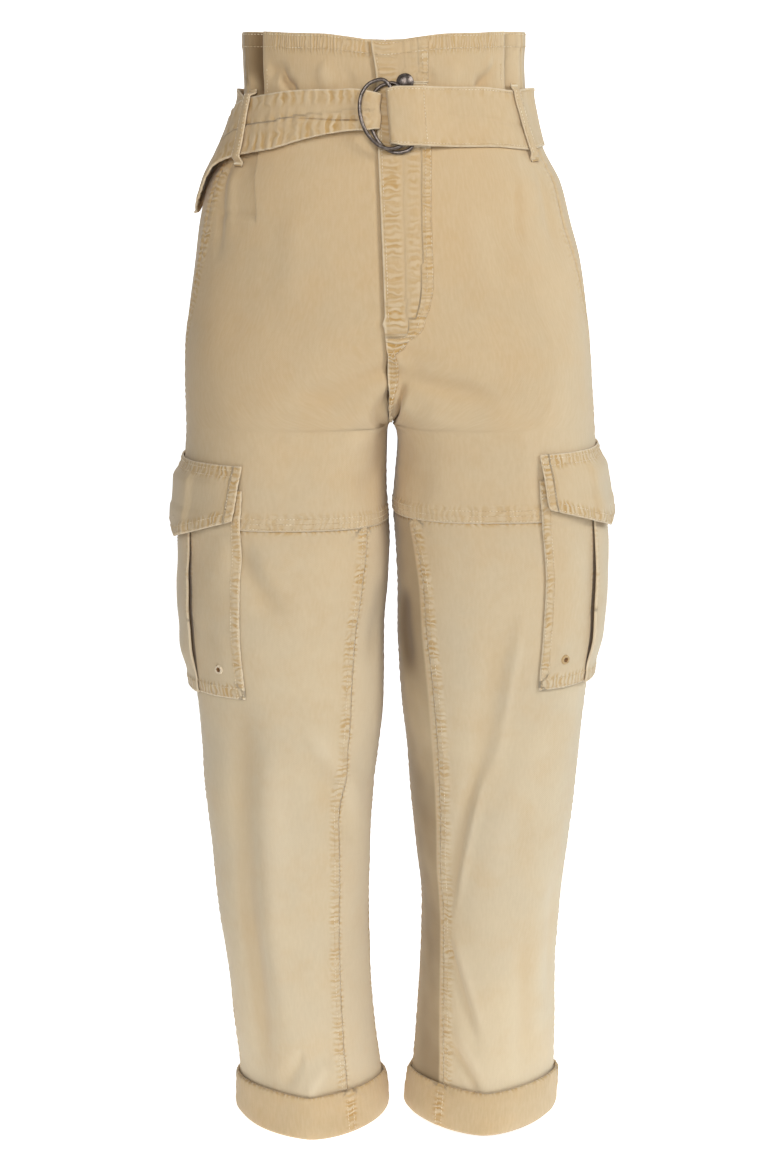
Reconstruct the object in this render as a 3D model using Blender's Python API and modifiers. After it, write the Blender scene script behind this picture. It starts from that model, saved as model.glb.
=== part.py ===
"""Paperbag waist trousers, filled out as if worn, built from the pieces a maker would cut and sew.

Metres, +Z up, the front faces -Y. The origin is at the middle of the waist, halfway up the belt.
"right" and "left" are the wearer's, so the right side is at -X.
"""

import math

import bmesh
import bpy
import numpy as np

# Cloth and seams
CLOTH = 0.0014  # thickness of the twill
SEAM_GAP = 0.0003  # space left between two neighbouring pieces
ON_CLOTH = 0.0009  # lift of a piece that lies on a panel, clear of the panel's facets
STITCHED = 0.0006  # how far a hemmed or felled edge stands out

# Levels along the height
RIM = 0.072
RIM_HEM = 0.014
RIM_LINE = ((0.0, -0.0060), (0.02, -0.0050), (0.07, -0.0020), (0.14, 0.0008), (0.27, 0.0020), (0.38, 0.0035),
            (0.47, 0.0040), (0.60, 0.0050), (0.72, 0.0065), (0.80, 0.0062), (0.90, 0.0035), (1.0, 0.0018))
RISE_BLEND = -0.176  # below this the two halves turn into two legs
CROTCH = -0.281
THIGH_SEAM = {-1: -0.375, 1: -0.367}  # the upper fronts end here, over the lower fronts
SEAM_BAND = 0.014
SEAM_FADE = ((0.25, 1.0), (0.30, 0.6), (0.335, 0.0), (0.50, 0.0))  # the lap thins out under the pocket
LEG_END = {-1: -0.9745, 1: -0.9700}
HEM_BEND = (-0.86, -0.9745)  # between these the levels take on the dip of the turn-up

# Shell of the trousers, a row for each level.
# Outer and inner reach are X on each leg. Above the crotch both inner columns hold the middle line.
# Round is the exponent of the section: 2 is an ellipse, more is boxier, less is creased.
SHELL_COLUMNS = ("level", "right_outer", "right_inner", "left_inner", "left_outer",
                 "front", "back", "round_in", "round_out")
SHELL = (
    (0.090, -0.1305, 0.0000, 0.0000, 0.1290, 0.0870, 0.0930, 2.25, 2.25),
    (0.050, -0.1312, 0.0000, 0.0000, 0.1290, 0.0860, 0.0915, 2.25, 2.25),
    (0.024, -0.1305, 0.0000, 0.0000, 0.1300, 0.0870, 0.0915, 2.25, 2.25),
    (0.000, -0.1370, 0.0000, 0.0000, 0.1365, 0.0897, 0.0950, 2.25, 2.25),
    (-0.030, -0.1480, 0.0000, 0.0000, 0.1480, 0.0936, 0.1020, 2.25, 2.25),
    (-0.060, -0.1640, 0.0000, 0.0000, 0.1640, 0.0995, 0.1110, 2.25, 2.20),
    (-0.095, -0.1735, 0.0005, 0.0005, 0.1735, 0.1040, 0.1210, 2.30, 2.15),
    (-0.130, -0.1785, 0.0015, 0.0015, 0.1830, 0.1065, 0.1290, 2.40, 2.15),
    (-0.170, -0.1842, 0.0025, 0.0025, 0.1890, 0.1070, 0.1335, 2.50, 2.15),
    (-0.210, -0.1884, 0.0035, 0.0035, 0.1934, 0.1055, 0.1330, 2.70, 2.15),
    (-0.245, -0.1890, 0.0045, 0.0045, 0.1958, 0.1030, 0.1280, 2.80, 2.15),
    (-0.281, -0.1890, 0.0057, 0.0057, 0.1990, 0.0995, 0.1200, 2.80, 2.15),
    (-0.284, -0.1890, 0.0038, 0.0076, 0.1992, 0.0990, 0.1190, 2.80, 2.15),
    (-0.290, -0.1892, 0.0026, 0.0098, 0.1996, 0.0985, 0.1175, 2.80, 2.15),
    (-0.302, -0.1900, 0.0019, 0.0112, 0.2006, 0.0975, 0.1145, 2.75, 2.15),
    (-0.335, -0.1925, 0.0010, 0.0092, 0.2040, 0.0950, 0.1075, 2.65, 2.15),
    (-0.360, -0.1930, 0.0018, 0.0078, 0.2056, 0.0925, 0.1030, 2.60, 2.15),
    (-0.400, -0.1915, 0.0044, 0.0106, 0.2054, 0.0890, 0.0980, 2.50, 2.15),
    (-0.438, -0.1908, 0.0028, 0.0122, 0.2046, 0.0860, 0.0935, 2.45, 2.15),
    (-0.478, -0.1896, -0.0008, 0.0115, 0.2024, 0.0830, 0.0900, 2.40, 2.15),
    (-0.518, -0.1870, -0.0012, 0.0134, 0.1988, 0.0805, 0.0870, 2.35, 2.10),
    (-0.558, -0.1830, -0.0022, 0.0164, 0.1948, 0.0780, 0.0845, 2.30, 2.05),
    (-0.599, -0.1795, -0.0061, 0.0210, 0.1903, 0.0760, 0.0825, 2.20, 2.00),
    (-0.640, -0.1772, -0.0108, 0.0244, 0.1860, 0.0745, 0.0810, 2.10, 1.95),
    (-0.701, -0.1718, -0.0150, 0.0302, 0.1800, 0.0725, 0.0800, 2.00, 1.90),
    (-0.764, -0.1656, -0.0163, 0.0364, 0.1733, 0.0712, 0.0790, 1.90, 1.85),
    (-0.827, -0.1575, -0.0152, 0.0350, 0.1694, 0.0705, 0.0780, 1.80, 1.75),
    (-0.891, -0.1516, -0.0108, 0.0312, 0.1696, 0.0705, 0.0765, 1.70, 1.65),
    (-0.934, -0.1472, -0.0050, 0.0280, 0.1694, 0.0710, 0.0755, 1.65, 1.60),
    (-0.985, -0.1470, 0.0008, 0.0218, 0.1696, 0.0715, 0.0750, 1.62, 1.60),
)

# How far each side seam runs in front of the widest point, in turns of the section
SIDE_SEAM_COLUMNS = ("level", "forward")
SIDE_SEAM = ((0.09, 0.30), (-0.09, 0.34), (-0.16, 0.22), (-0.24, 0.04), (-0.32, 0.10), (-0.42, 0.0))

# Soft folds: a straight line on one side of the shell, its width and how far it stands out or in
FOLD_COLUMNS = ("side", "across_from", "level_from", "across_to", "level_to", "width", "depth")
FOLDS = (
    (1, 0.045, -0.248, 0.190, -0.264, 0.013, -0.0040),
    (-1, 0.010, -0.242, 0.160, -0.275, 0.013, -0.0030),
    (1, 0.330, -0.500, 0.180, -0.770, 0.013, -0.0050),
    (1, 0.290, -0.500, 0.140, -0.770, 0.016, 0.0025),
    (1, 0.075, -0.785, 0.170, -0.905, 0.012, -0.0035),
    (-1, 0.330, -0.560, 0.350, -0.930, 0.018, -0.0050),
    (-1, 0.150, -0.590, 0.090, -0.680, 0.016, 0.0025),
    (-1, 0.360, -0.050, 0.360, -0.130, 0.010, -0.0030),
    (1, 0.900, -0.250, 0.740, -0.320, 0.016, -0.0045),
    (-1, 0.900, -0.250, 0.730, -0.325, 0.016, -0.0045),
    (1, 0.880, -0.290, 0.720, -0.375, 0.014, 0.0030),
    (-1, 0.890, -0.300, 0.710, -0.380, 0.014, 0.0030),
    (1, 0.870, -0.570, 0.700, -0.640, 0.018, -0.0050),
    (-1, 0.860, -0.585, 0.690, -0.655, 0.018, -0.0050),
    (1, 0.860, -0.640, 0.690, -0.720, 0.016, 0.0035),
    (-1, 0.860, -0.655, 0.700, -0.730, 0.016, 0.0035),
)

# Lines that the panels share: across is 0 at the front middle, 0.5 at the side seam, 1 at the back
FRONT_LINES = (0.0, 0.04, 0.09, 0.145, 0.20, 0.25, 0.30, 0.335, 0.37, 0.41, 0.455, 0.50)
BACK_LINES = (0.50, 0.56, 0.62, 0.68, 0.74, 0.80, 0.86, 0.91, 0.96, 1.00)
RISE_LINES = (0.020, 0.0, -0.030, -0.055, -0.070, -0.085, -0.100, -0.110, -0.120, -0.148, -0.176, -0.202,
              -0.225, -0.244, -0.258, -0.268, -0.275, -0.279, CROTCH, -0.284, -0.290, -0.302, -0.322, -0.343)
LEG_LINES = (-0.405, -0.437, -0.470, -0.503, -0.535, -0.575, -0.620, -0.665, -0.710, -0.760, -0.810,
             -0.860, -0.905, -0.942)

# Inner leg seam, where the inner panel joins the lower front
INNER_SEAM_COLUMNS = ("level", "right", "left")
INNER_SEAM = ((-0.36, 0.112, 0.106), (-0.45, 0.128, 0.128), (-0.55, 0.142, 0.146), (-0.65, 0.143, 0.138),
              (-0.75, 0.139, 0.122), (-0.85, 0.142, 0.128), (-0.98, 0.150, 0.142))

# Front pleats at the waist
PLEAT_ACROSS = 0.335  # where the folded edge lies
PLEAT_LAP = 0.012
PLEAT_RADIUS = 0.00085
PLEAT_CLOTH = 0.0012
PLEAT_END = {-1: (-0.055, -0.120), 1: (0.0, -0.070)}  # starts to open, is gone
PLEAT_BEND_STEPS = 4
PLEAT_RELEASE = 0.030  # the cloth beside the pleat rises to the surface again within this

# Fly
FLY_WIDTH = 0.041
FLY_STRAIGHT = -0.150  # the stitched curve starts here
FLY_END = -0.198
RISE_STRIP = 0.0115
FLY_CLOTH = 0.0010

# Belt
BELT_CLOTH = 0.0018
BELT_WIDTH = 0.053
BELT_FOLD_END = 0.036
# Route of the belt: arc runs round the waist from the front middle to the wearer's left, and goes on
# past a full turn. Lift is from the cloth; width narrows where the belt is bunched into the rings;
# lean turns it downhill; splay lifts its lower edge.
BELT_COLUMNS = ("turns", "arc", "level", "lift", "width", "lean", "splay")
BELT_ROUTE = (
    (0, 0.0380, -0.0055, 0.0033, 0.043, 0, 0.0),
    (0, 0.0175, -0.0055, 0.0033, 0.043, 2, 0.0),
    (0, 0.0105, -0.0040, 0.0032, 0.045, 4, 0.0),
    (0, 0.0062, -0.0015, 0.0034, 0.048, 4, 0.0),
    (0, 0.0040, 0.0, 0.0052, 0.049, 4, 0.0),
    (0, 0.0036, 0.0, 0.0080, 0.049, 4, 0.0),
    (0, 0.0040, 0.0, 0.0110, 0.049, 4, 0.0),
    (0, 0.0064, 0.0, 0.0128, 0.050, 4, 0.0),
    (0, 0.0130, 0.0, 0.0133, 0.053, 4, 0.0),
    (0, 0.0260, 0.0, 0.0124, 0.053, 0, 0.0),
    (0, 0.0370, 0.0, 0.0084, 0.053, 0, 0.0),
    (0, 0.0490, 0.0, 0.0044, 0.053, 0, 0.0),
    (0, 0.0620, 0.0, 0.0019, 0.053, 0, 0.0),
    (0, 0.0900, 0.0, 0.0018, 0.053, 0, 0.0),
    (0, 0.1350, -0.0030, 0.0018, 0.053, 0, 0.0),
    (0, 0.1520, -0.0010, 0.0018, 0.053, 0, 0.0),
    (0, 0.1720, 0.0, 0.0078, 0.053, 0, -0.006),
    (0, 0.2050, 0.0, 0.0078, 0.053, 0, -0.006),
    (0, 0.2300, 0.0, 0.0018, 0.053, 0, 0.0),
    (0, 0.3600, 0.0, 0.0018, 0.053, 0, 0.0),
    (1, -0.2320, 0.0, 0.0018, 0.053, 0, 0.0),
    (1, -0.2100, 0.0, 0.0066, 0.053, 0, -0.0048),
    (1, -0.1860, 0.0, 0.0062, 0.053, 0, -0.0044),
    (1, -0.1500, -0.0075, 0.0018, 0.050, 0, 0.0),
    (1, -0.1150, -0.0060, 0.0018, 0.047, 0, 0.0),
    (1, -0.0800, 0.0000, 0.0018, 0.043, 0, 0.0),
    (1, -0.0500, 0.0040, 0.0018, 0.037, 0, 0.0),
    (1, -0.0250, 0.0050, 0.0017, 0.034, 0, 0.0),
    (1, -0.0120, 0.0045, 0.0017, 0.032, 0, 0.0),
    (1, -0.0072, 0.0045, 0.0021, 0.031, 0, 0.0),
    (1, -0.0048, 0.0045, 0.0036, 0.031, 0, 0.0),
    (1, -0.0044, 0.0045, 0.0050, 0.031, 0, 0.0),
    (1, -0.0050, 0.0045, 0.0067, 0.031, 0, 0.0),
    (1, -0.0078, 0.0048, 0.0083, 0.032, 0, 0.0),
    (1, -0.0160, 0.0052, 0.0087, 0.035, 0, 0.0),
    (1, -0.0280, 0.0058, 0.0078, 0.037, 0, 0.0),
    (1, -0.0450, 0.0045, 0.0052, 0.039, 0, 0.0),
    (1, -0.0720, 0.0014, 0.0047, 0.045, 2, 0.0),
    (1, -0.1000, -0.0040, 0.0047, 0.051, 6, 0.0),
    (1, -0.1300, -0.0092, 0.0048, 0.052, 10, 0.0),
    (1, -0.1480, -0.0150, 0.0064, 0.053, 20, 0.001),
    (1, -0.1620, -0.0260, 0.0076, 0.053, 36, 0.003),
    (1, -0.1740, -0.0430, 0.0068, 0.053, 52, 0.003),
    (1, -0.1830, -0.0640, 0.0056, 0.050, 62, 0.002),
    (1, -0.1880, -0.0790, 0.0044, 0.030, 68, 0.001),
    (1, -0.1900, -0.0880, 0.0040, 0.008, 70, 0.001),
)
BELT_ROUND = (12, 26)  # rows of the route that lie flat round the waist
BELT_STEP = 0.014  # longest step along the belt
BELT_ROWS = 4

# Rings of the belt. Each stands in a plane that leans with the cloth; its round side is towards -X.
RING_WIRE = 0.0034
RING_HALF_HEIGHT = 0.0305
RING_FORWARD = 0.0214
RING_BEHIND = 0.0130
RING_BAR_ROUND = 4.0
RING_POINTS = 30
RING_BASE, RING_SLOPE = 0.0899, 0.110  # front of the cloth behind the rings, and how it runs out downwards
RING_COLUMNS = ("name", "x", "level", "tilt", "lift_bar", "lift_round")
RINGS = (
    ("ring_upper", 0.0002, 0.0022, 19.0, 0.0088, 0.0121),
    ("ring_lower", 0.0080, -0.0010, 14.5, 0.0059, 0.0047),
)

# Belt loops
LOOP_WIDTH = 0.009
LOOP_CLOTH = 0.0014
LOOP_FOOT = 0.0045
LOOP_COLUMNS = ("name", "arc", "drift", "top", "bottom", "stand")
LOOPS = (
    ("loop_front_right", -0.1385, 0.0140, 0.0245, -0.0470, 0.0086),
    ("loop_front_left", 0.1340, 0.0010, 0.0300, -0.0400, 0.0048),
    ("loop_back_right", -0.2450, 0.0, 0.0340, -0.0400, 0.0042),
    ("loop_back_left", 0.2450, 0.0, 0.0340, -0.0400, 0.0042),
    ("loop_back_middle", 0.3620, 0.0, 0.0340, -0.0400, 0.0042),
)

# Button: radius and height from its back, outside in
BUTTON_X, BUTTON_LEVEL = 0.0156, 0.0310
BUTTON_PROFILE = ((0.0, 0.0036), (0.0032, 0.0034), (0.0056, 0.0028), (0.0071, 0.0018), (0.0076, 0.0010),
                  (0.0070, 0.0003), (0.0050, 0.0), (0.0, 0.0))

# Cargo pockets
POCKET_ACROSS = 0.455  # middle of the pocket
PLEAT_LINES = (0.409, 0.411, 0.455, 0.499, 0.501)  # the raised box pleat lies between these
POCKET_TOP = {-1: -0.321, 1: -0.311}
POCKET_HALF = 0.085
POCKET_LENGTH = 0.218
POCKET_START = 0.016  # the bag starts this far below the flap's seam
POCKET_FACE, PLEAT_FACE = 0.0024, 0.0044  # outer faces above the panel
POCKET_EDGE = 0.0020
FLAP_HALF = 0.084
FLAP_CORNER, FLAP_POINT = 0.053, 0.0695  # length at the corner and at the point
FLAP_CLOTH = 0.0018
EYELET_FROM_EDGE, EYELET_FROM_END = 0.0270, 0.0280
EYELET_RADIUS, EYELET_RIM = 0.0026, 0.0011

# Cuffs: lift from the leg and height from the bottom of the turn-up, round the section
CUFF_LEVEL = {-1: -0.9795, 1: -0.9750}
CUFF_HEIGHT = 0.0365
CUFF_SECTION = ((0.0011, 1.00), (0.0026, 1.03), (0.0040, 1.00), (0.0043, 0.70), (0.0043, 0.30),
                (0.0040, 0.06), (0.0024, -0.03), (-0.0014, -0.03), (-0.0036, 0.05), (-0.0038, 0.55),
                (-0.0024, 0.55), (-0.0022, 0.10), (0.0009, 0.10))
CUFF_DIP = 0.0050  # the bottom edge is lower at the front by this

SAND = (0.62, 0.48, 0.29)
SAND_DEEP = (0.55, 0.41, 0.23)
DARK_STEEL = (0.16, 0.15, 0.14)
BRASS = (0.45, 0.30, 0.14)


def curve_through(places, values, place):
    """Read a smooth curve through a table, one that never overshoots it, at each place."""
    order = np.argsort(places)
    places = np.asarray(places, float)[order]
    values = np.asarray(values, float)[order]
    slopes = np.diff(values) / np.diff(places)
    tangents = np.concatenate([slopes[:1], np.zeros(len(slopes) - 1), slopes[-1:]])
    product = slopes[1:] * slopes[:-1]
    total = np.where(product > 0, slopes[1:] + slopes[:-1], 1.0)
    tangents[1:-1] = np.where(product > 0, 2 * product / total, 0.0)
    place = np.clip(np.asarray(place, float), places[0], places[-1])
    cell = np.clip(np.searchsorted(places, place, side="right") - 1, 0, len(places) - 2)
    width = places[cell + 1] - places[cell]
    t = (place - places[cell]) / width
    start = values[cell] * (1 + 2 * t) * (1 - t) ** 2 + tangents[cell] * width * t * (1 - t) ** 2
    end = values[cell + 1] * t * t * (3 - 2 * t) - tangents[cell + 1] * width * t * t * (1 - t)
    return start + end


def column(table, names, name):
    """One named column of a table."""
    return [row[names.index(name)] for row in table]


def shell_value(name, level):
    return curve_through(column(SHELL, SHELL_COLUMNS, "level"), column(SHELL, SHELL_COLUMNS, name), level)


def ease(value):
    """Go smoothly from 0 to 1 as the value does."""
    value = np.clip(value, 0.0, 1.0)
    return value * value * (3 - 2 * value)


def power(value, exponent):
    return np.sign(value) * np.abs(value) ** exponent


def fold_lift(side, across, level):
    """Height of the soft folds, from the lines of the fold table."""
    girth = 0.52  # rough length of one side's section, to measure across in metres
    lift = np.zeros(np.broadcast(across, level).shape)
    for row in FOLDS:
        fold = dict(zip(FOLD_COLUMNS, row))
        if fold["side"] != side:
            continue
        run = (fold["across_to"] - fold["across_from"]) * girth
        drop = fold["level_to"] - fold["level_from"]
        away = (across - fold["across_from"]) * girth
        below = level - fold["level_from"]
        length = math.hypot(run, drop)
        along = (away * run + below * drop) / length
        beside = (away * drop - below * run) / length
        fade = ease(along / (0.25 * length)) * ease((length - along) / (0.3 * length))
        lift = lift + fold["depth"] * fade * np.exp(-(beside / fold["width"]) ** 2)
    return lift


def smooth_skin(side, across, level):
    """Outer face of the cloth without folds. Above the crotch each half is part of a leg's section."""
    across, level = np.broadcast_arrays(np.asarray(across, float), np.asarray(level, float))
    word = "left" if side > 0 else "right"
    outer = side * shell_value(word + "_outer", level)
    inner = side * shell_value(word + "_inner", level)
    round_in = shell_value("round_in", level)
    round_out = shell_value("round_out", level)
    share = np.clip((RISE_BLEND - level) / (RISE_BLEND - CROTCH), 0.0, 1.0) ** 1.3
    reach = (outer - inner) / (1 + share)
    centre = inner + reach * share
    start = np.arccos(np.clip(share ** (round_in / 2), 0.0, 1.0))
    forward = curve_through(column(SIDE_SEAM, SIDE_SEAM_COLUMNS, "level"),
                            column(SIDE_SEAM, SIDE_SEAM_COLUMNS, "forward"), level)
    turn = start + (2 * math.pi - 2 * start) * across - forward * np.sin(math.pi * across) ** 2
    cosine, sine = np.cos(turn), np.sin(turn)
    exponent = 2 / np.where(cosine > 0, round_in, round_out)
    depth = np.where(sine > 0, shell_value("front", level), shell_value("back", level))
    x = side * (centre - reach * power(cosine, exponent))
    return np.stack([x, -depth * power(sine, exponent), level], axis=-1)


def face_direction(side, across, level, step_across=0.004, step_level=0.003):
    """Direction that the outer face of the cloth looks in."""
    sideways = smooth_skin(side, across + step_across, level) - smooth_skin(side, across - step_across, level)
    upwards = smooth_skin(side, across, level + step_level) - smooth_skin(side, across, level - step_level)
    normal = side * np.cross(sideways, upwards)
    return normal / np.linalg.norm(normal, axis=-1, keepdims=True)


def skin(side, across, level, lift=0.0):
    """A point above the outer face of the cloth, folds included."""
    across, level, lift = np.broadcast_arrays(across, level, lift)
    rise = lift + fold_lift(side, across, level)
    return smooth_skin(side, across, level) + face_direction(side, across, level) * rise[..., None]


def rim_lift(across):
    """How far the rim stands above its plain level, from the front opening to the back."""
    return curve_through([place for place, _ in RIM_LINE], [lift for _, lift in RIM_LINE], across)


def hem_dip(across):
    """The turn-ups hang lower at the front than at the back."""
    return -CUFF_DIP * np.sin(2 * math.pi * np.asarray(across))


def bent_level(across, level):
    """Bend the levels near the rim to the rim's own line, and those near the turn-up to its dip."""
    at_rim = rim_lift(across) * ease((level - 0.02) / (RIM - 0.02))
    at_hem = hem_dip(across) * ease((HEM_BEND[0] - level) / (HEM_BEND[0] - HEM_BEND[1]))
    return level + at_rim + at_hem


def seam_share(across):
    """How much of the thigh seam's lap there is, from the inseam to the pocket."""
    return np.interp(across, [place for place, _ in SEAM_FADE], [share for _, share in SEAM_FADE])


def panel_raise(side, across, nominal):
    """How far a panel's outer face stands above the plain shell, at the rim's hem and the thigh seam."""
    across, nominal = np.broadcast_arrays(np.asarray(across, float), np.asarray(nominal, float))
    seam = THIGH_SEAM[side]
    in_band = (nominal >= seam - 1e-6) & (nominal <= seam + SEAM_BAND + 1e-6) & (across < 0.5)
    lap = (ON_CLOTH + CLOTH) * seam_share(across)
    hem = np.where(nominal > RIM - RIM_HEM - 0.001, STITCHED, 0.0)
    return hem + np.where(in_band, lap, 0.0)


def leg_lines(side):
    return LEG_LINES + (LEG_END[side],)


def levels_of(side):
    """All levels at which the panels have a row, top to bottom."""
    seam = THIGH_SEAM[side]
    rim = (RIM, RIM - RIM_HEM, RIM - RIM_HEM - 0.0015, 0.038)
    band = (seam + SEAM_BAND + 0.0012, seam + SEAM_BAND, seam)
    return rim + RISE_LINES + band + leg_lines(side)


FACETS = {}


def faceted(side, across, level):
    """A point on the flat facets that the panels really have; level is taken before it is bent."""
    lines = np.array(FRONT_LINES + BACK_LINES[1:])
    levels = np.array(levels_of(side))[::-1]
    if side not in FACETS:
        grid_across, grid_level = np.meshgrid(lines, levels, indexing="ij")
        FACETS[side] = skin(side, grid_across, bent_level(grid_across, grid_level))
    grid = FACETS[side]
    across, level = np.broadcast_arrays(np.asarray(across, float), np.asarray(level, float))
    i = np.clip(np.searchsorted(lines, across, side="right") - 1, 0, len(lines) - 2)
    j = np.clip(np.searchsorted(levels, level, side="right") - 1, 0, len(levels) - 2)
    u = ((across - lines[i]) / (lines[i + 1] - lines[i]))[..., None]
    v = ((level - levels[j]) / (levels[j + 1] - levels[j]))[..., None]
    low = grid[i, j] * (1 - u) + grid[i + 1, j] * u
    high = grid[i, j + 1] * (1 - u) + grid[i + 1, j + 1] * u
    return low * (1 - v) + high * v


def on_cloth(side, across, level, lift):
    """A point moved out from a panel's facets."""
    lift = np.broadcast_to(lift, np.broadcast(across, level).shape)
    return faceted(side, across, level) + face_direction(side, across, level) * lift[..., None]


def material(name, colour, roughness, metallic=0.0):
    found = bpy.data.materials.get(name)
    if found:
        return found
    made = bpy.data.materials.new(name)
    made.use_nodes = True
    shader = made.node_tree.nodes["Principled BSDF"]
    shader.inputs["Base Color"].default_value = (*colour, 1.0)
    shader.inputs["Roughness"].default_value = roughness
    shader.inputs["Metallic"].default_value = metallic
    return made


def add_object(name, data, finish):
    piece = bpy.data.objects.new(name, data)
    data.materials.append(finish)
    collection.objects.link(piece)
    return piece


def finished(name, mesh, finish):
    """Merge the points that share a place, face everything outward and make the object."""
    bmesh.ops.remove_doubles(mesh, verts=mesh.verts[:], dist=1e-6)
    bmesh.ops.recalc_face_normals(mesh, faces=mesh.faces[:])
    data = bpy.data.meshes.new(name)
    mesh.to_mesh(data)
    mesh.free()
    data.shade_smooth()
    data.set_sharp_from_angle(angle=math.radians(40))
    return add_object(name, data, finish)


def wall(name, outer, inner, finish):
    """Join an outer and an inner grid of points, rows by columns, into one closed wall of cloth."""
    rows, columns = outer.shape[:2]
    mesh = bmesh.new()
    skins = [[[mesh.verts.new(point) for point in row] for row in grid] for grid in (outer, inner)]
    out, into = skins
    for i in range(rows - 1):
        for j in range(columns - 1):
            mesh.faces.new((out[i][j], out[i][j + 1], out[i + 1][j + 1], out[i + 1][j]))
            mesh.faces.new((into[i][j], into[i + 1][j], into[i + 1][j + 1], into[i][j + 1]))
    for j in range(columns - 1):
        mesh.faces.new((out[0][j], into[0][j], into[0][j + 1], out[0][j + 1]))
        mesh.faces.new((out[-1][j], out[-1][j + 1], into[-1][j + 1], into[-1][j]))
    for i in range(rows - 1):
        mesh.faces.new((out[i][0], out[i + 1][0], into[i + 1][0], into[i][0]))
        mesh.faces.new((out[i][-1], into[i][-1], into[i + 1][-1], out[i + 1][-1]))
    return finished(name, mesh, finish)


def ribbon(name, middle, thickness, finish):
    """Give a strip of cloth, known by the grid of its middle face, its thickness."""
    along = np.gradient(middle, axis=0)
    over = np.gradient(middle, axis=1)
    normal = np.cross(along, over)
    normal = normal / np.linalg.norm(normal, axis=-1, keepdims=True)
    return wall(name, middle + normal * thickness / 2, middle - normal * thickness / 2, finish)


def draw_in(points, distance):
    """Pull the first and last column of a grid back from the seam by a distance."""
    first = points[:, 1] - points[:, 0]
    last = points[:, -2] - points[:, -1]
    points[:, 0] += first / np.linalg.norm(first, axis=-1, keepdims=True) * distance
    points[:, -1] += last / np.linalg.norm(last, axis=-1, keepdims=True) * distance


def keep_off_middle(side, points, level):
    """Leave the seam gap between the two halves above the crotch."""
    middle = side * shell_value("right_inner", level)
    least = middle + SEAM_GAP / 2
    above = level >= CROTCH - 1e-6
    points[..., 0] = np.where(above, side * np.maximum(side * points[..., 0], least), points[..., 0])


def panel(name, side, across, nominal, finish):
    """A cut piece of the shell: across and nominal give the place of each point of its outer face."""
    level = bent_level(across, nominal)
    facing = face_direction(side, across, level)
    surface = skin(side, across, level)
    if nominal[0, 0] < CROTCH:
        surface[0] = faceted(side, across[0], nominal[0])
    outer = surface + facing * panel_raise(side, across, np.maximum(nominal, CROTCH))[..., None]
    inner = surface - facing * CLOTH
    for points in (outer, inner):
        draw_in(points, SEAM_GAP / 2)
        keep_off_middle(side, points, level)
    return wall(name, outer, inner, finish)


def pleat_path(side, nominal):
    """Shape of the front pleat at one level: distance along the section, height and slope angle.

    The cloth turns under at the folded edge, runs back and turns again, and lies deeper from there on.
    """
    opening, gone = PLEAT_END[side]
    left = float(np.clip((nominal - gone) / (opening - gone), 0.0, 1.0))
    angle = math.pi * ease(2 * left)
    lap = PLEAT_LAP * ease(2 * left - 1)
    bend_step = max(PLEAT_RADIUS * angle / PLEAT_BEND_STEPS, 0.0005 * ease(1 - angle / math.pi))
    bends = np.linspace(0.0, angle, PLEAT_BEND_STEPS + 1)
    angles = np.concatenate([bends, bends[::-1]])
    steps = [bend_step] * PLEAT_BEND_STEPS + [max(lap, 0.0008)] + [bend_step] * PLEAT_BEND_STEPS
    halfway = (angles[1:] + angles[:-1]) / 2
    along = np.concatenate([[0.0], np.cumsum(np.cos(halfway) * steps)])
    height = np.concatenate([[0.0], np.cumsum(-np.sin(halfway) * steps)])
    return along, height, angles


def pleated_row(side, nominal):
    """One row of an upper front through its pleat: across values, depths, slopes, and pleat members."""
    edge = PLEAT_ACROSS
    before = [line for line in FRONT_LINES if line < edge - 0.02]
    after = [line for line in FRONT_LINES if line > edge + 0.02]
    along, height, slope = pleat_path(side, nominal)
    count, members = len(before), len(along) + 2
    if nominal < PLEAT_END[side][1] - 1e-6:
        across = np.array(before + [edge] * members + after)
        return across, 0 * across, 0 * across, np.zeros(len(across), bool)
    girth = np.linalg.norm(skin(side, edge + 0.01, nominal) - skin(side, edge - 0.01, nominal)) / 0.02
    beyond = 0.0022 + max(along[-1], 0.0)
    across = np.concatenate([before, [edge - 0.010], edge + along / girth, [edge + beyond / girth], after])
    reach = (across - edge) * girth
    depths = height[-1] * (1 - ease(reach / PLEAT_RELEASE))
    depths[:count + 1] = 0.0
    depths[count + 1:count + 1 + len(height)] = height
    depths[count + members - 1] = height[-1]
    slopes = np.zeros(len(across))
    slopes[count + 1:count + 1 + len(slope)] = slope
    inside = np.zeros(len(across), bool)
    inside[count + 1:count + members + 1] = True
    return across, depths, slopes, inside


def upper_front(name, side, finish):
    """Upper front with its waist pleat, from the rim to the thigh seam."""
    seam = THIGH_SEAM[side]
    outer_rows, inner_rows, level_rows = [], [], []
    for nominal in levels_of(side):
        if nominal < seam - 1e-6:
            continue
        across, depths, slopes, inside = pleated_row(side, nominal)
        level = bent_level(across, np.full(len(across), nominal))
        facing = face_direction(side, across, level)
        tangent = smooth_skin(side, across + 0.004, level) - smooth_skin(side, across - 0.004, level)
        tangent /= np.linalg.norm(tangent, axis=-1, keepdims=True)
        turned = facing * np.cos(slopes)[:, None] + tangent * np.sin(slopes)[:, None]
        thickness = PLEAT_CLOTH if nominal > PLEAT_END[side][1] else CLOTH
        raised = np.where(inside, 0.0, panel_raise(side, across, nominal))
        lap = raised if nominal <= seam + SEAM_BAND + 1e-6 else 0 * raised
        centre = skin(side, across, level, depths - thickness / 2)
        outer_rows.append(centre + turned * (thickness / 2 + raised)[:, None])
        inner_rows.append(centre - turned * (thickness / 2 - lap)[:, None])
        level_rows.append(level)
    outer, inner, level = np.array(outer_rows), np.array(inner_rows), np.array(level_rows)
    for points in (outer, inner):
        draw_in(points, SEAM_GAP / 2)
        keep_off_middle(side, points, level)
    return wall(name, outer, inner, finish)


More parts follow.
